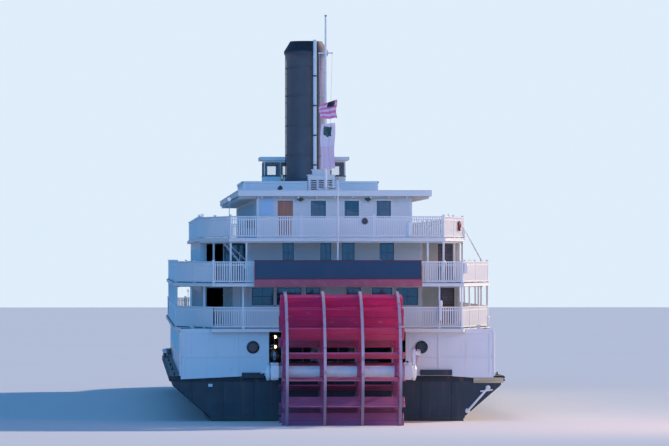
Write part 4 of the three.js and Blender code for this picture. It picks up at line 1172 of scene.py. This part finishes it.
def cleat(bm, x, y):
    low = MAIN_DECK
    block(bm, x - 7, x + 7, y - 14, y + 14, low, low + 3, 1)
    for side in SIDES:
        rod(bm, (x, y + side * 8, low + 2), (x, y + side * 8, low + 13), 3.4, 8)
    for side in SIDES:
        rod(bm, (x, y + side * 24, low + 15), (x, y, low + 13), 2, 8, 4)


def foredeck_gear():
    iron = piece("mooring_irons", IRON)
    for x, y in ((330, 6760), (-330, 6760), (500, 6480), (-500, 6480), (150, 7330), (-150, 7330)):
        bitts(iron, x, y)
    for sign in SIDES:
        for station in (180, 1500, 2700, 3900, 4800):
            cleat(iron, sign * 842, station)
    profile = [
        # radius, height
        (0, 0), (52, 0), (52, 8), (40, 14), (27, 22), (23, 44), (26, 66), (38, 76), (42, 80), (42, 94), (36, 100),
        (0, 102),
    ]
    turned(iron, profile, CAPSTAN, steps=32)
    for out in around(8):
        foot, head = (Vector(CAPSTAN) + Vector((0, 0, rise)) for rise in (28, 64))
        rod(iron, foot + out * 22, head + out * 24, 4, 8)
    for sign in SIDES:
        centre = (sign * (guard_half(FAIRLEAD_Y) - 3), FAIRLEAD_Y, 481)
        turned(iron, [(15, -3), (21, -3), (21, 3), (15, 3)], centre, (sign, 0, 0), FORE, 20, True)
    hatch = piece("fore_hatch", OAK)
    for x in (-100, 100):
        block(hatch, x - 4, x + 4, 6640, 6840, MAIN_DECK, MAIN_DECK + 24, 1.5)
    for y in (6640, 6832):
        block(hatch, -96, 96, y, y + 8, MAIN_DECK, MAIN_DECK + 24, 1.5)
    bars(hatch, range(-80, 81, 32), 15, 6646, 6834, MAIN_DECK + 14, MAIN_DECK + 28, 2)
    staff = piece("jackstaff", GLOSS_WHITE)
    turned(staff, [(0, 0), (18, 0), (18, 6), (11, 16), (8, 20), (0, 20)], (0, STAFF_Y, MAIN_DECK), steps=20)
    rod(staff, (0, STAFF_Y, MAIN_DECK + 15), (0, STAFF_Y, 1010), 7, 12, 3.4)
    for sign in SIDES:
        rod(staff, (sign * 60, STAFF_Y - 100, MAIN_DECK), (0, STAFF_Y, 800), 2, 8)
    ball(piece("jackstaff_ball", BRASS), (0, STAFF_Y, 1016), 9)


bulwark_cap()
foredeck_gear()


# Corner boards, skirting and frieze on every house

CORNER_BOARD = 13
SKIRTING = 10
PROUD = 2
ALCOVE_SIDE = (-354, 0)


def rectangle(half, aft, fore):
    return [(-half, aft), (half, aft), (half, fore), (-half, fore)]


def stepped(fore):
    """A cabin's outline, narrower behind its shoulder walls."""
    inner = 455
    right = [(inner, CABIN_STERN), (inner, SHOULDER_WALL), (CABIN_HALF, SHOULDER_WALL), (CABIN_HALF, fore)]
    return [(-inner, CABIN_STERN), *right, *((-x, y) for x, y in right[:0:-1])]


def house_trim(name, outline, floor, ceiling, finish=TRIM):
    bm = piece(f"{name}_corner_boards", finish)
    for corner, (at, length) in zip(outline, runs(outline)):
        if name == "main" and corner == ALCOVE_SIDE:
            continue
        low, high = floor + CLEAR, ceiling - CLEAR
        block(bm, 0, length, -PROUD, 1, low, floor + SKIRTING, 0, at)
        block(bm, 0, length, -PROUD, 1, ceiling - SKIRTING, high, 0, at)
        for start in (0, length - CORNER_BOARD):
            block(bm, start, start + CORNER_BOARD, -PROUD - 0.6, 1, low, high, 0, at)


port_stern, *stern_on = rectangle(MAIN_HALF, 0, FORE_WALLS["main"])
MAIN_PLAN = [port_stern, ALCOVE_SIDE, (354, 0), *stern_on]
house_trim("main", MAIN_PLAN, MAIN_DECK, MAIN_CEILING, PLATE)
house_trim("saloon", stepped(FORE_WALLS["saloon"]), SALOON_DECK, SALOON_CEILING)
house_trim("observation", stepped(FORE_WALLS["observation"]), OBSERVATION_DECK, OBSERVATION_CEILING)
house_trim("texas", rectangle(TEXAS_HALF, TEXAS_STERN, FORE_WALLS["texas"]), TEXAS_DECK, TEXAS_ROOF - 30)
house_trim("trunk", rectangle(*TRUNK), TEXAS_ROOF, TRUNK_ROOF)
house_trim("pilothouse", rectangle(*PILOTHOUSE), TRUNK_ROOF, PILOTHOUSE_SILL)


# Stern panels of the main house, with their portholes, and the joinery at the shoulders

PORTHOLE_X, PORTHOLE_Z = 437, 613
SEAMS = (-792, -515, -372, 372, 526, 792)
UPRIGHT = Matrix(((1, 0, 0, 0), (0, 0, -1, 0), (0, 1, 0, 0), (0, 0, 0, 1)))


def stern_panels():
    bm = piece("stern_panel_battens", PLATE)
    low, high = MAIN_DECK + CLEAR, MAIN_CEILING - CLEAR
    bars(bm, SEAMS, 5, -3.2, 1, low, high, 0.8)
    for x0, x1 in ((-805, -366), (366, 805)):
        block(bm, x0, x1, -4, 1, high - 12, high, 1)
        block(bm, x0, x1, -2.6, 1, 560, 566, 0.8)
    for x in SEAMS:
        for z in range(490, 690, 30):
            rod(bm, (x, -3, z), (x, -5, z), 1.8, 6)
    rims = piece("porthole_rims", IRON)
    panes = piece("porthole_panes", DARK_GLASS)
    rim = [(23, -1), (23, 5), (25, 7), (29, 7), (33, 4), (33, -1)]
    for sign in SIDES:
        centre = Vector((sign * PORTHOLE_X, 0, PORTHOLE_Z))
        turned(rims, rim, centre, AFT, ABEAM, 36, True)
        for out in around(8, upright=True):
            place = centre + out * 30
            rod(rims, place + Vector((0, -4, 0)), place + Vector((0, -8, 0)), 2, 6)
        turned(panes, [(0, -5), (23.5, -5), (23.5, -8), (0, -9)], centre, AFT, ABEAM, 36)
    knee = piece("stern_knee", RIM)
    at = Matrix.Translation((406, -8, 538)) @ Matrix.Rotation(math.radians(13), 4, "Y")
    block(knee, -8, 8, -5, 5, -66, 66, 1.5, at)
    block(knee, 388, 408, -13, 0, 596, 606, 1)
    aprons = piece("panel_aprons", STERN_PLATE)
    for sign, inner in ((-1, 497), (1, 597)):
        outline = [(sign * inner, low), (sign * inner, low - 3), (sign * 811, low - 18), (sign * 811, low)]
        prism(aprons, outline, -1, 2.6, UPRIGHT)


def shoulder_joinery():
    """Panelling seen through the starboard doorways, and a dark glazed screen beside the port one, put there as
    painted shade.
    """
    oak = piece("lobby_panelling", OAK)
    for floor in (SALOON_DECK, OBSERVATION_DECK):
        block(oak, 560, 672, 944, 950, floor + 1, floor + 206, 1)
        bars(oak, (566, 600, 634, 664), 4, 940, 945, floor + 2, floor + 205, 1)
        battens(oak, (floor + 8, floor + 100, floor + 198), 5, 560, 672, 941, 945, 1)
    # Painted shade: dark panes and dark bars on the observation deck's port shoulder wall, where the deck above
    # shades it.
    low, high = OBSERVATION_DECK + 6, OBSERVATION_DECK + 205
    block(piece("painted_shade_screen", DARK_GLASS), -566, -462, 894, 897, low, high)
    screen = piece("painted_shade_screen_bars", DARK_WOOD)
    bars(screen, (-566, -532, -497, -462), 3, 890, 899.5, low, high, 0.8)
    battens(screen, (low + 3, low + 96, high - 3), 3, -566, -462, 891, 899.5, 0.8)
    windbreak = piece("windbreak", TRIM)
    low, high = SALOON_DECK + CLEAR, SALOON_CEILING - CLEAR
    block(windbreak, -536, -458, 301, 306, low, high, 0.8)
    bars(windbreak, (-532, -497, -462), 4, 298.5, 302, low, high, 0.8)
    battens(windbreak, (low + 6, low + 84, high - 6), 5, -536, -458, 299, 302, 0.8)


def corner_mouldings():
    """A half-round moulding up each after corner of the main house."""
    bm = piece("corner_mouldings", GLOSS_WHITE)
    for x in (-812, 812):
        rod(bm, (x, -1, MAIN_DECK + CLEAR), (x, -1, MAIN_CEILING - CLEAR), 6, 12)


def corner_flashing():
    """A low upstand and a vent on the plates over the main house's after corners."""
    bm = piece("corner_flashing", PLATE)
    low, high = MAIN_CEILING + 7.5, SALOON_DECK - 2
    for sign in SIDES:
        block(bm, sign * 805, sign * 811.5, -1.5, 590, low - 9, high, 1)
        block(bm, sign * 655, sign * 804.8, -1.5, 5, low - 9, high - 0.3, 1)
        rod(bm, (sign * 746, 170, low), (sign * 746, 170, high + 14), 9, 16)
        turned(bm, [(0, 20), (15, 17), (15, 14), (12, 14), (0, 14)], (sign * 746, 170, high), steps=20)


stern_panels()
shoulder_joinery()
corner_mouldings()
corner_flashing()


# Wheel timbers, bearings and engines

CYLINDER_X, CYLINDER_Z = 323, 566
LAMP_X, LAMP_Y = -318, 150


def timber_irons():
    """Straps round the wheel's timbers, and caps and bolts on its bearings."""
    iron = piece("timber_irons", IRON)
    caps = piece("bearing_caps", PLATE)
    for sign in SIDES:
        for station in (-300, -190, -80):
            bars(iron, [sign * 335], 17, station - 8, station + 8, 464, 533, 1)
            for y in (station - 4, station + 4):
                rod(iron, (sign * 335, y, 533), (sign * 335, y, 538), 3, 6)
        block(caps, sign * 319, sign * 360, -512, -408, 536, 542, 1.5)
        block(caps, sign * 319, sign * 360, -566, -559, 466, 530, 1.5)
        for station in (-499, -421):
            for z0, z1 in ((542, 550), (455, 447)):
                rod(iron, (sign * 339, station, z0), (sign * 339, station, z1), 5, 6)


def engine_gear():
    """Heads, slide rods and pipes of the two cylinders beside the wheel."""
    steel = piece("engine_gear", MACHINE)
    head = [(0, 0), (31, 0), (31, 5), (27, 8), (12, 9), (12, 14), (0, 14)]
    for sign in SIDES:
        x, pipe_x = sign * CYLINDER_X, sign * (CYLINDER_X - 8)
        for station, aim in ((300, AFT), (700, FORE)):
            turned(steel, head, (x, station, CYLINDER_Z), aim, ABEAM, 24)
        rod(steel, (x, 292, CYLINDER_Z), (x, 80, CYLINDER_Z), 5, 12)
        for z in (548, 584):
            rod(steel, (x, 292, z), (x, 60, z), 3.4, 8)
        block(steel, x - 10, x + 10, 78, 106, 544, 588, 2)
        block(steel, x - 16, x + 16, 400, 600, 590, 622, 3)
        rod(steel, (pipe_x, 500, 620), (pipe_x, 500, 664), 7, 12)
        rod(steel, (pipe_x, 500, 664), (pipe_x, 880, 664), 7, 12)
        rod(steel, (x - sign * 22, 560, 520), (x - sign * 60, 884, 520), 9, 12)


def alcove_gear():
    """A board with gauges on the alcove's fore wall, and two lamps on its port wall."""
    wall = piece("engine_room_board", MACHINE)
    bars(wall, (-250, -150, 40, 180), 3, 880, 888, 470, 690, 0.8)
    battens(wall, (520, 600, 660), 3, -340, 340, 881, 888, 0.8)
    block(wall, -110, -20, 872, 888, 520, 640, 3)
    block(wall, 90, 150, 868, 888, 540, 600, 3)
    for x in (-90, -65, -40):
        turned(wall, [(0, 0), (9, 0), (9, 4), (0, 5)], (x, 872, 615), AFT, ABEAM, 16)
    lamps = piece("alcove_lamps", WORK_LAMP)
    brackets = piece("alcove_lamp_brackets", IRON)
    for z in (664, 613):
        ball(lamps, (LAMP_X, LAMP_Y, z), 8.5)
        rod(brackets, (LAMP_X - 35, LAMP_Y, z), (LAMP_X - 6, LAMP_Y, z), 4, 8)
        turned(brackets, [(9, -2), (11, -2), (11, 2), (9, 2)], (LAMP_X - 6, LAMP_Y, z), ABEAM, FORE, 16, True)


timber_irons()
engine_gear()
alcove_gear()


# Roofs

ROOF_LOW, ROOF_HIGH = limits("texas_roof")
COWL = (-268, 1010, TEXAS_ROOF + 21)
VENT_HOUSE_Y = 2280


def roof_edges():
    bm = piece("roof_edges", TRIM)
    tiers = [
        # half width, aft, fore, low, high, proud
        (ROOF_HIGH.x, ROOF_LOW.y, ROOF_HIGH.y, 1399, 1431, 2),
        (*TRUNK, 1520, 1532, 6),
        (272, 5018, 5462, 1677, 1697, 2),
    ]
    for half, aft, fore, low, high, proud in tiers:
        for at, length in runs(rectangle(half, aft, fore)):
            block(bm, -proud, length + proud, -proud, 1, low, high, 1, at)
            rod(bm, (-proud, -proud, high - 2), (length + proud, -proud, high - 2), 2.4, 8, at=at)
    rafters = piece("roof_rafters", TRIM)
    for y in range(420, 5600, 110):
        for sign in SIDES:
            block(rafters, sign * 410, sign * 500, y - 4, y + 4, 1386, 1399.8)
    bars(rafters, range(-380, 381, 95), 4, 352, 397, 1388, 1399.8)


def louvre(bm, x, y, z, across, lean):
    """One tilted slat of the vent house."""
    half, fore, aft, axis = (16, 3, 5, "X") if across else (4, 16, 16, "Y")
    slope = Matrix.Translation((x, y, z)) @ Matrix.Rotation(lean, 4, axis)
    block(bm, -half, half, -aft, fore, -1.2, 1.2, 0, slope)


def roof_gear():
    vents = piece("roof_vents", ROOF)
    profile = [
        # radius, height
        (0, 0), (15, 0), (15, 2), (9, 3), (8, 9), (17, 10), (19, 13), (15, 17), (7, 19), (0, 20),
    ]
    for y in range(2000, 3900, 600):
        for sign in SIDES:
            turned(vents, profile, (sign * 300, y, TEXAS_ROOF), steps=20)
    for y in (1150, 2880, 3520):
        block(vents, -62, 62, y - 80, y + 80, TEXAS_ROOF, TEXAS_ROOF + 16, 1.5)
        for side in SIDES:
            at = Matrix.Translation((side * 31, y, TEXAS_ROOF + 22)) @ Matrix.Rotation(side * 0.2, 4, "Y")
            block(vents, -32, 32, -78, 78, -3, 3, 1, at)
    cowl = piece("roof_cowl", SLATE)
    rod(cowl, (COWL[0], COWL[1], TEXAS_ROOF), (COWL[0], COWL[1], TEXAS_ROOF + 14), 6, 16)
    hood = [(0, -13), (7, -12), (10, -3), (13, 8), (12, 9), (8, -1), (6, -10), (0, -11)]
    turned(cowl, hood, COWL, (0.75, -0.5, 0.45), (0.55, 0.83, 0), 20)
    louvres = piece("vent_house_louvres", SLATE)
    levels = range(20, 81, 12)
    for shift in (-44, 0, 44):
        for level in levels:
            louvre(louvres, shift, 2209, TEXAS_ROOF + level, True, 0.6)
        for sign in SIDES:
            for level in levels:
                louvre(louvres, sign * 75, VENT_HOUSE_Y + shift, TEXAS_ROOF + level, False, sign * 0.6)
    caps = piece("vent_house_caps", TRIM)
    for half, reach, z in ((80, 76, 1538), (56, 54, 1568)):
        block(caps, -half, half, VENT_HOUSE_Y - reach, VENT_HOUSE_Y + reach, z, z + 5, 1.5)
    frames = piece("clerestory_frames", TRIM)
    panes = piece("clerestory_panes", DARK_GLASS)
    for sign in SIDES:
        for y in range(4110, 5400, 130):
            window(frames, panes, side_wall(sign, 402), y - 38, y + 38, TEXAS_ROOF + 32, TEXAS_ROOF + 74)


roof_edges()
roof_gear()


# Pilothouse

def pilothouse_windows():
    frames = piece("pilothouse_sashes", VARNISHED_SASH)
    panes = piece("pilothouse_panes", CLEAR_GLASS)
    half, aft, fore = PILOTHOUSE
    sill, head = PILOTHOUSE_SILL, 1664
    walls = [(at, -half, half, 5) for at in (aft_wall(aft), fore_wall(fore))]
    walls += [(side_wall(sign, half), aft, fore, 4) for sign in SIDES]
    for at, start, end, count in walls:
        pitch = (end - start) / count
        for number in range(count):
            left = start + number * pitch + (WALL if number == 0 else 7)
            right = start + (number + 1) * pitch - (WALL if number == count - 1 else 7)
            for x0, x1 in ((left - 5, left + 9), (right - 9, right + 5)):
                block(frames, x0, x1, -WALL - 1, 2, sill, head, 0.8, at)
            for z0, z1 in ((sill, sill + 5), (head - 18, head)):
                block(frames, left, right, -WALL + 2, -1, z0, z1, 0.8, at)
            block(panes, left + 2, right - 2, -7.5, -6, sill + 4, head - 16, 0, at)
        block(frames, start - 4, end + 4, -1, 5, sill - 6, sill + 1, 1, at)


def pilothouse_gear():
    """Steering wheel, bench and searchlight."""
    wood = piece("steering_wheel", OAK)
    hub = Vector((0, 5330, 1592))
    turned(wood, [(44, -3), (48, -4), (52, -3), (52, 3), (48, 4), (44, 3)], hub, FORE, ABEAM, 40, True)
    turned(wood, [(0, -6), (9, -6), (11, 0), (9, 6), (0, 6)], hub, FORE, ABEAM, 20)
    for out in around(10, upright=True):
        rod(wood, hub + out * 8, hub + out * 62, 2, 8, 2.8)
    bars(wood, (-30, 30), 4, 5340, 5350, TRUNK_ROOF + 1, 1592, 1)
    block(wood, -150, 150, 5070, 5110, TRUNK_ROOF + 1, TRUNK_ROOF + 34, 3)
    lamp = piece("searchlight", BRASS)
    drum = [(0, -12), (10, -12), (14, -6), (14, 10), (12, 12), (12, 8), (0, 7)]
    turned(lamp, drum, (0, 5400, 1722), FORE, ABEAM, 24)
    rod(lamp, (0, 5400, 1696), (0, 5400, 1709), 4, 12)


pilothouse_windows()
pilothouse_gear()


# Mast fittings, halyards and flags

MAST_Y = 1600


def mast_fittings():
    brass = piece("pole_balls", BRASS)
    ball(brass, (0, MAST_Y, 2404), 7)
    low, high = limits("flagstaff")
    ball(brass, ((low.x + high.x) / 2, -62, 1484), 5.5)
    ropes = piece("halyards", ROPE)
    for sign in SIDES:
        rod(ropes, (sign * 36, MAST_Y, 2196), (sign * 14, MAST_Y - 3, TEXAS_ROOF + 22), 0.8, 6)


def flag(name, finish, node, folds, droop):
    """Cloth hanging behind the mast in upright folds that deepen away from it."""
    bm = piece(name, finish, replaces=[node], crease=180)
    low, high = limits(node)
    middle_y = (low.y + high.y) / 2
    bmesh.ops.create_grid(bm, x_segments=40, y_segments=24, size=0.5, calc_uvs=False)
    layer = bm.loops.layers.uv.new("cloth")
    for face in bm.faces:
        for loop in face.loops:
            loop[layer].uv = (loop.vert.co.x + 0.5, loop.vert.co.y + 0.5)
    for corner in bm.verts:
        across, up = corner.co.x + 0.5, corner.co.y + 0.5
        wave = math.sin(across * folds * 2 * math.pi + 0.8 * math.sin(up * 4))
        x = low.x + 5 + across * (high.x - low.x - 10) + 3.5 * math.sin(up * 7 + across * 2)
        y = middle_y + 6.5 * wave * (0.4 + 0.6 * across)
        drop = droop * (1 - across) * (high.z - low.z)
        top, bottom = high.z - 4 - drop, low.z + 5 + 3 * math.sin(across * 9)
        corner.co = (x, y, bottom + up * (top - bottom))
    made = built(*PIECES.pop())


mast_fittings()
flag("striped_flag", STRIPES, "flag_upper", 2.2, 0.28)
flag("banded_flag", BANDS, "flag_lower", 2.4, 0.04)


# Lamps, life rings and small things along the rails

LAMPS = [
    # x, y, floor, height, radius of the globe
    (-549, 560, TEXAS_DECK, 205, 10),
    (-690, 760, TEXAS_DECK, 122, 9),
    (600, 340, TEXAS_DECK, 122, 7),
    (553, -74, OBSERVATION_DECK, 110, 7),
    (700, 250, OBSERVATION_DECK, 112, 7),
    (-640, 5560, TEXAS_DECK, 160, 9),
    (640, 5560, TEXAS_DECK, 160, 9),
    (-700, 6400, SALOON_DECK, 160, 9),
    (700, 6400, SALOON_DECK, 160, 9),
]
LOCKERS = [
    # left, right, aft, fore, floor, low and high above it
    (524, 541, -56, -42, SALOON_DECK, 40, 145),
    (818, 836, 676, 700, SALOON_DECK, -6, 60),
    (368, 386, 2, 12, TEXAS_DECK, 6, 84),
    (688, 712, 772, 792, TEXAS_DECK, 2, 60),
    (540, 552, -104, -98, OBSERVATION_DECK, 60, 100),
    (652, 672, -70, -50, OBSERVATION_DECK, 50, 104),
]


def rail_lamps():
    poles = piece("lamp_poles", GLOSS_WHITE)
    globes = piece("lamp_globes", LAMP)
    for x, y, floor, height, radius in LAMPS:
        neck = floor + height - radius
        rod(poles, (x, y, floor), (x, y, neck), 2.4, 10, 1.8)
        turned(poles, [(0, 0), (8, 0), (8, 3), (4, 7), (0, 7)], (x, y, floor), steps=12)
        turned(poles, [(0, 0), (6, 0), (6, 3), (0, 3)], (x, y, neck - 2), steps=12)
        ball(globes, (x, y, floor + height), radius, 10)


def life_ring(bm, centre, out, across):
    """A ring with a round section, hung against a rail."""
    section = [(21 + 7 * math.cos(turn), 7 * math.sin(turn)) for turn in (n * math.pi / 4 for n in range(8))]
    turned(bm, section, centre, out, across, 26, True)


def life_rings():
    white = piece("life_rings", GLOSS_WHITE)
    for sign in SIDES:
        for station in (1400, 2600, 3800, 5000):
            for deck, x in ((SALOON_DECK, 816), (OBSERVATION_DECK, 816), (TEXAS_DECK, 691)):
                life_ring(white, (sign * x, station, deck + 66), (sign, 0, 0), FORE)
    at = along((553, 14), (701, 791))[0]
    out, across = (at.to_3x3() @ Vector(direction) for direction in (FORE, ABEAM))
    life_ring(piece("stern_life_ring", MAROON), at @ Vector((560, -12, TEXAS_DECK + 64)), out, across)


def stern_ladder():
    """A steep stair from the observation deck up to the texas deck's port corner, and a tie rod to starboard."""
    bm = piece("stern_ladder", RAILING)
    top = Vector((-587, 330, TEXAS_DECK - 20))
    foot = Vector((-410, 330, OBSERVATION_DECK + 2))
    for side in (-26, 26):
        shift = Vector((0, side, 0))
        rod(bm, foot + shift, top + shift, 4.5, 8)
        rod(bm, foot + shift + Vector((0, 0, 62)), top + shift + Vector((0, 0, 18)), 2.6, 8)
        for share in (0.1, 0.5, 0.85):
            place = foot.lerp(top, share) + shift
            rod(bm, place, place + Vector((0, 0, 55)), 2, 8)
    for number in range(1, 11):
        place = foot.lerp(top, number / 11)
        block(bm, place.x - 9, place.x + 9, 306, 354, place.z - 1.5, place.z + 1.5)
    rod(bm, (716, 806, TEXAS_DECK + 40), (800, 722, OBSERVATION_DECK + 112), 3.4, 10)


rail_lamps()
lockers = piece("rail_lockers", GLOSS_WHITE)
for *plan, floor, low, high in LOCKERS:
    block(lockers, *plan, floor + low, floor + high, 2)
life_rings()
stern_ladder()


# Doors and the after wall of the texas

def texas_door_panels():
    """Stiles and rails kept clear of the hinge, so that the open door doesn't meet its casing."""
    low, high = limits("texas_door")
    wood = piece("texas_door_panels", ORANGE_DOOR, "texas_door")
    face, hinge_side, middle = low.y, low.x + 10, (low.x + high.x) / 2
    for x0, x1 in ((hinge_side, hinge_side + 10), (high.x - 12, high.x - 1), (middle - 4, middle + 6)):
        block(wood, x0, x1, face - 2.2, face + 1, low.z + 1, high.z - 1, 0.8)
    for z0, z1 in ((low.z + 1, low.z + 16), (1270, 1282), (high.z - 14, high.z - 1)):
        block(wood, hinge_side, high.x - 1, face - 2, face + 1, z0, z1, 0.8)
    brass = piece("texas_door_knob", BRASS, "texas_door")
    x, z = high.x - 8, 1262
    ball(brass, (x, face - 6, z), 4)
    rod(brass, (x, face - 5, z), (x, face + 1, z), 2, 10)


def boarding_door_panels(door, sign):
    low, high = limits(door)
    bm = piece(f"{door}_panels", PLATE, door)
    at = side_wall(sign, MAIN_HALF - 0.5)
    for y0, y1 in ((low.y + 1, low.y + 12), (high.y - 12, high.y - 1)):
        block(bm, y0, y1, -1, 2, low.z + 1, high.z - 1, 0.8, at)
    for z0, z1 in ((low.z + 1, low.z + 14), (570, 580), (high.z - 12, high.z - 1)):
        block(bm, low.y + 1.5, high.y - 1.5, -0.8, 1.6, z0, z1, 0.6, at)
    y, z = low.y + 18, 556
    rod(bm, (y, 2, z), (y, 9, z), 2, 8, at=at)
    rod(bm, (y, 8, z), (y + 16, 8, z), 2, 8, at=at)


def texas_wall_details():
    """The door's casing, a pale panel beside it, wall lamps and a hose reel on the rail."""
    casing_trim = piece("texas_door_casing", TRIM)
    doorway(casing_trim, aft_wall(TEXAS_STERN), -298, -218, 1190, 1376)
    block(casing_trim, -394, -315, 395, 400, 1296, 1396, 1)
    block(piece("notice_panel", PALE_BLUE), -390, -319, 393, 396, 1300, 1392, 1)
    lamps = piece("wall_lamps", GREEN_METAL)
    for x in (-178, 176):
        block(lamps, x - 16, x + 16, 388, 396, 1378, 1390, 2)
        rod(lamps, (x, 388, 1386), (x, 376, 1378), 3, 10, 8)
    reel = piece("rail_hose_reel", DARK_WOOD)
    turned(reel, [(0, -6), (14, -6), (17, 0), (14, 6), (0, 6)], (143, 6, 1266), FORE, ABEAM, 24)
    block(reel, -476, -425, 18, 22, 1228, 1278, 2)


def rudder_irons(rudder, x):
    """Straps across a rudder's blade, and the head of its stock."""
    bm = piece(f"{rudder}_irons", IRON, rudder)
    for z in (40, 90):
        block(bm, x - 7, x + 7, 190, 336, z - 7, z + 7, 1.5)
        for y in (210, 290, 325):
            rod(bm, (x - 9, y, z), (x + 9, y, z), 3, 6)
    turned(bm, [(0, 0), (15, 0), (15, 8), (11, 12), (0, 12)], (x, 260, 136), steps=20)


texas_door_panels()
for side, sign in NAMED_SIDES:
    boarding_door_panels(f"boarding_door_{side}", sign)
texas_wall_details()
for side, x in (("port", -330), ("middle", 0), ("starboard", 330)):
    rudder_irons(f"rudder_{side}", x)

for shape in PIECES:
    built(*shape)


# Camera, light and floor

CAMERA_PLACE = Vector((-1.08, STERN_Y - 27, WATERLINE / 1000 + 0.84))
CAMERA_AIM = (0.03946, 1, 0.0069)
PHOTO_FOCAL_PIXELS = 1883
PHOTO_WIDTH = 669
ENLARGED = 2.77  # the ship fills more of the picture than it does of the photograph


def stand(name, data, place, aim):
    """Puts a camera or a light in the scene, facing along aim."""
    made = bpy.data.objects.new(name, data)
    made.location = place
    made.rotation_euler = Vector(aim).to_track_quat("-Z", "Y").to_euler()
    bpy.context.scene.collection.objects.link(made)
    return made


def photograph_camera():
    lens = bpy.data.cameras.new("photograph_camera")
    lens.sensor_width = 36
    lens.lens = PHOTO_FOCAL_PIXELS * ENLARGED / PHOTO_WIDTH * lens.sensor_width
    lens.clip_end = 200
    bpy.context.scene.camera = stand("photograph_camera", lens, CAMERA_PLACE, CAMERA_AIM)


def light(name, kind, strength, colour, place, aim, **settings):
    data = bpy.data.lights.new(name, kind)
    for key, value in {"energy": strength, "color": colour, **settings}.items():
        setattr(data, key, value)
    return stand(name, data, place, aim)


def studio_lights():
    """A low warm sun from ahead, a blue sky light from port and a warm glow on the starboard quarter."""
    light("low_sun", "SUN", 3.6, (1.0, 0.85, 0.74), (0, 0, 0), (-0.78, -0.52, -0.36), angle=math.radians(3))
    light("port_sky", "SUN", 1.4, (0.07, 0.42, 1.0), (0, 0, 0), (0.30, 0.92, -0.20), angle=math.radians(50))
    place, aim = Vector((2.3, STERN_Y - 1.35, 2.1)), Vector((0.3, STERN_Y, 1.1))
    glow = light("starboard_glow", "AREA", 22, (1.0, 0.54, 0.36), place, aim - place, shape="SQUARE", size=1.6)
    glow.visible_camera = False


def pale_sky():
    """A bright sky behind the ship, and a cooler, dimmer one that lights it."""
    world = bpy.data.worlds.new("pale_sky")
    world.use_nodes = True
    tree = world.node_tree
    seen, cast = tree.nodes["Background"], tree.nodes.new("ShaderNodeBackground")
    for sky, colour, strength in ((seen, (0.74, 0.85, 0.97, 1), 1.0), (cast, (0.15, 0.41, 0.94, 1), 0.46)):
        sky.inputs["Color"].default_value = colour
        sky.inputs["Strength"].default_value = strength
    path = tree.nodes.new("ShaderNodeLightPath")
    choice = tree.nodes.new("ShaderNodeMixShader")
    tree.links.new(path.outputs["Is Camera Ray"], choice.inputs[0])
    tree.links.new(cast.outputs[0], choice.inputs[1])
    tree.links.new(seen.outputs[0], choice.inputs[2])
    tree.links.new(choice.outputs[0], tree.nodes["World Output"].inputs["Surface"])
    bpy.context.scene.world = world


def pale_floor():
    """A plain floor at the waterline."""
    bm = bmesh.new()
    bmesh.ops.create_grid(bm, x_segments=2, y_segments=2, size=60)
    mesh = bpy.data.meshes.new("pale_floor")
    bm.to_mesh(mesh)
    bm.free()
    floor = bpy.data.objects.new("pale_floor", mesh)
    floor.location.z = WATERLINE / 1000
    surface = Finish("pale_floor", "white_paint")
    surface.put("Roughness", 0.95)
    surface.put("Specular IOR Level", 0.05)
    surface.put("Base Color", surface.over((0.90, 0.86, 0.80), (surface.noise(0.4), (0.93, 0.89, 0.83))))
    mesh.materials.append(surface.material)
    bpy.context.scene.collection.objects.link(floor)
    floor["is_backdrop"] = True


bpy.context.scene.view_settings.view_transform = "Standard"
photograph_camera()
pale_sky()
studio_lights()
pale_floor()

low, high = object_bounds()
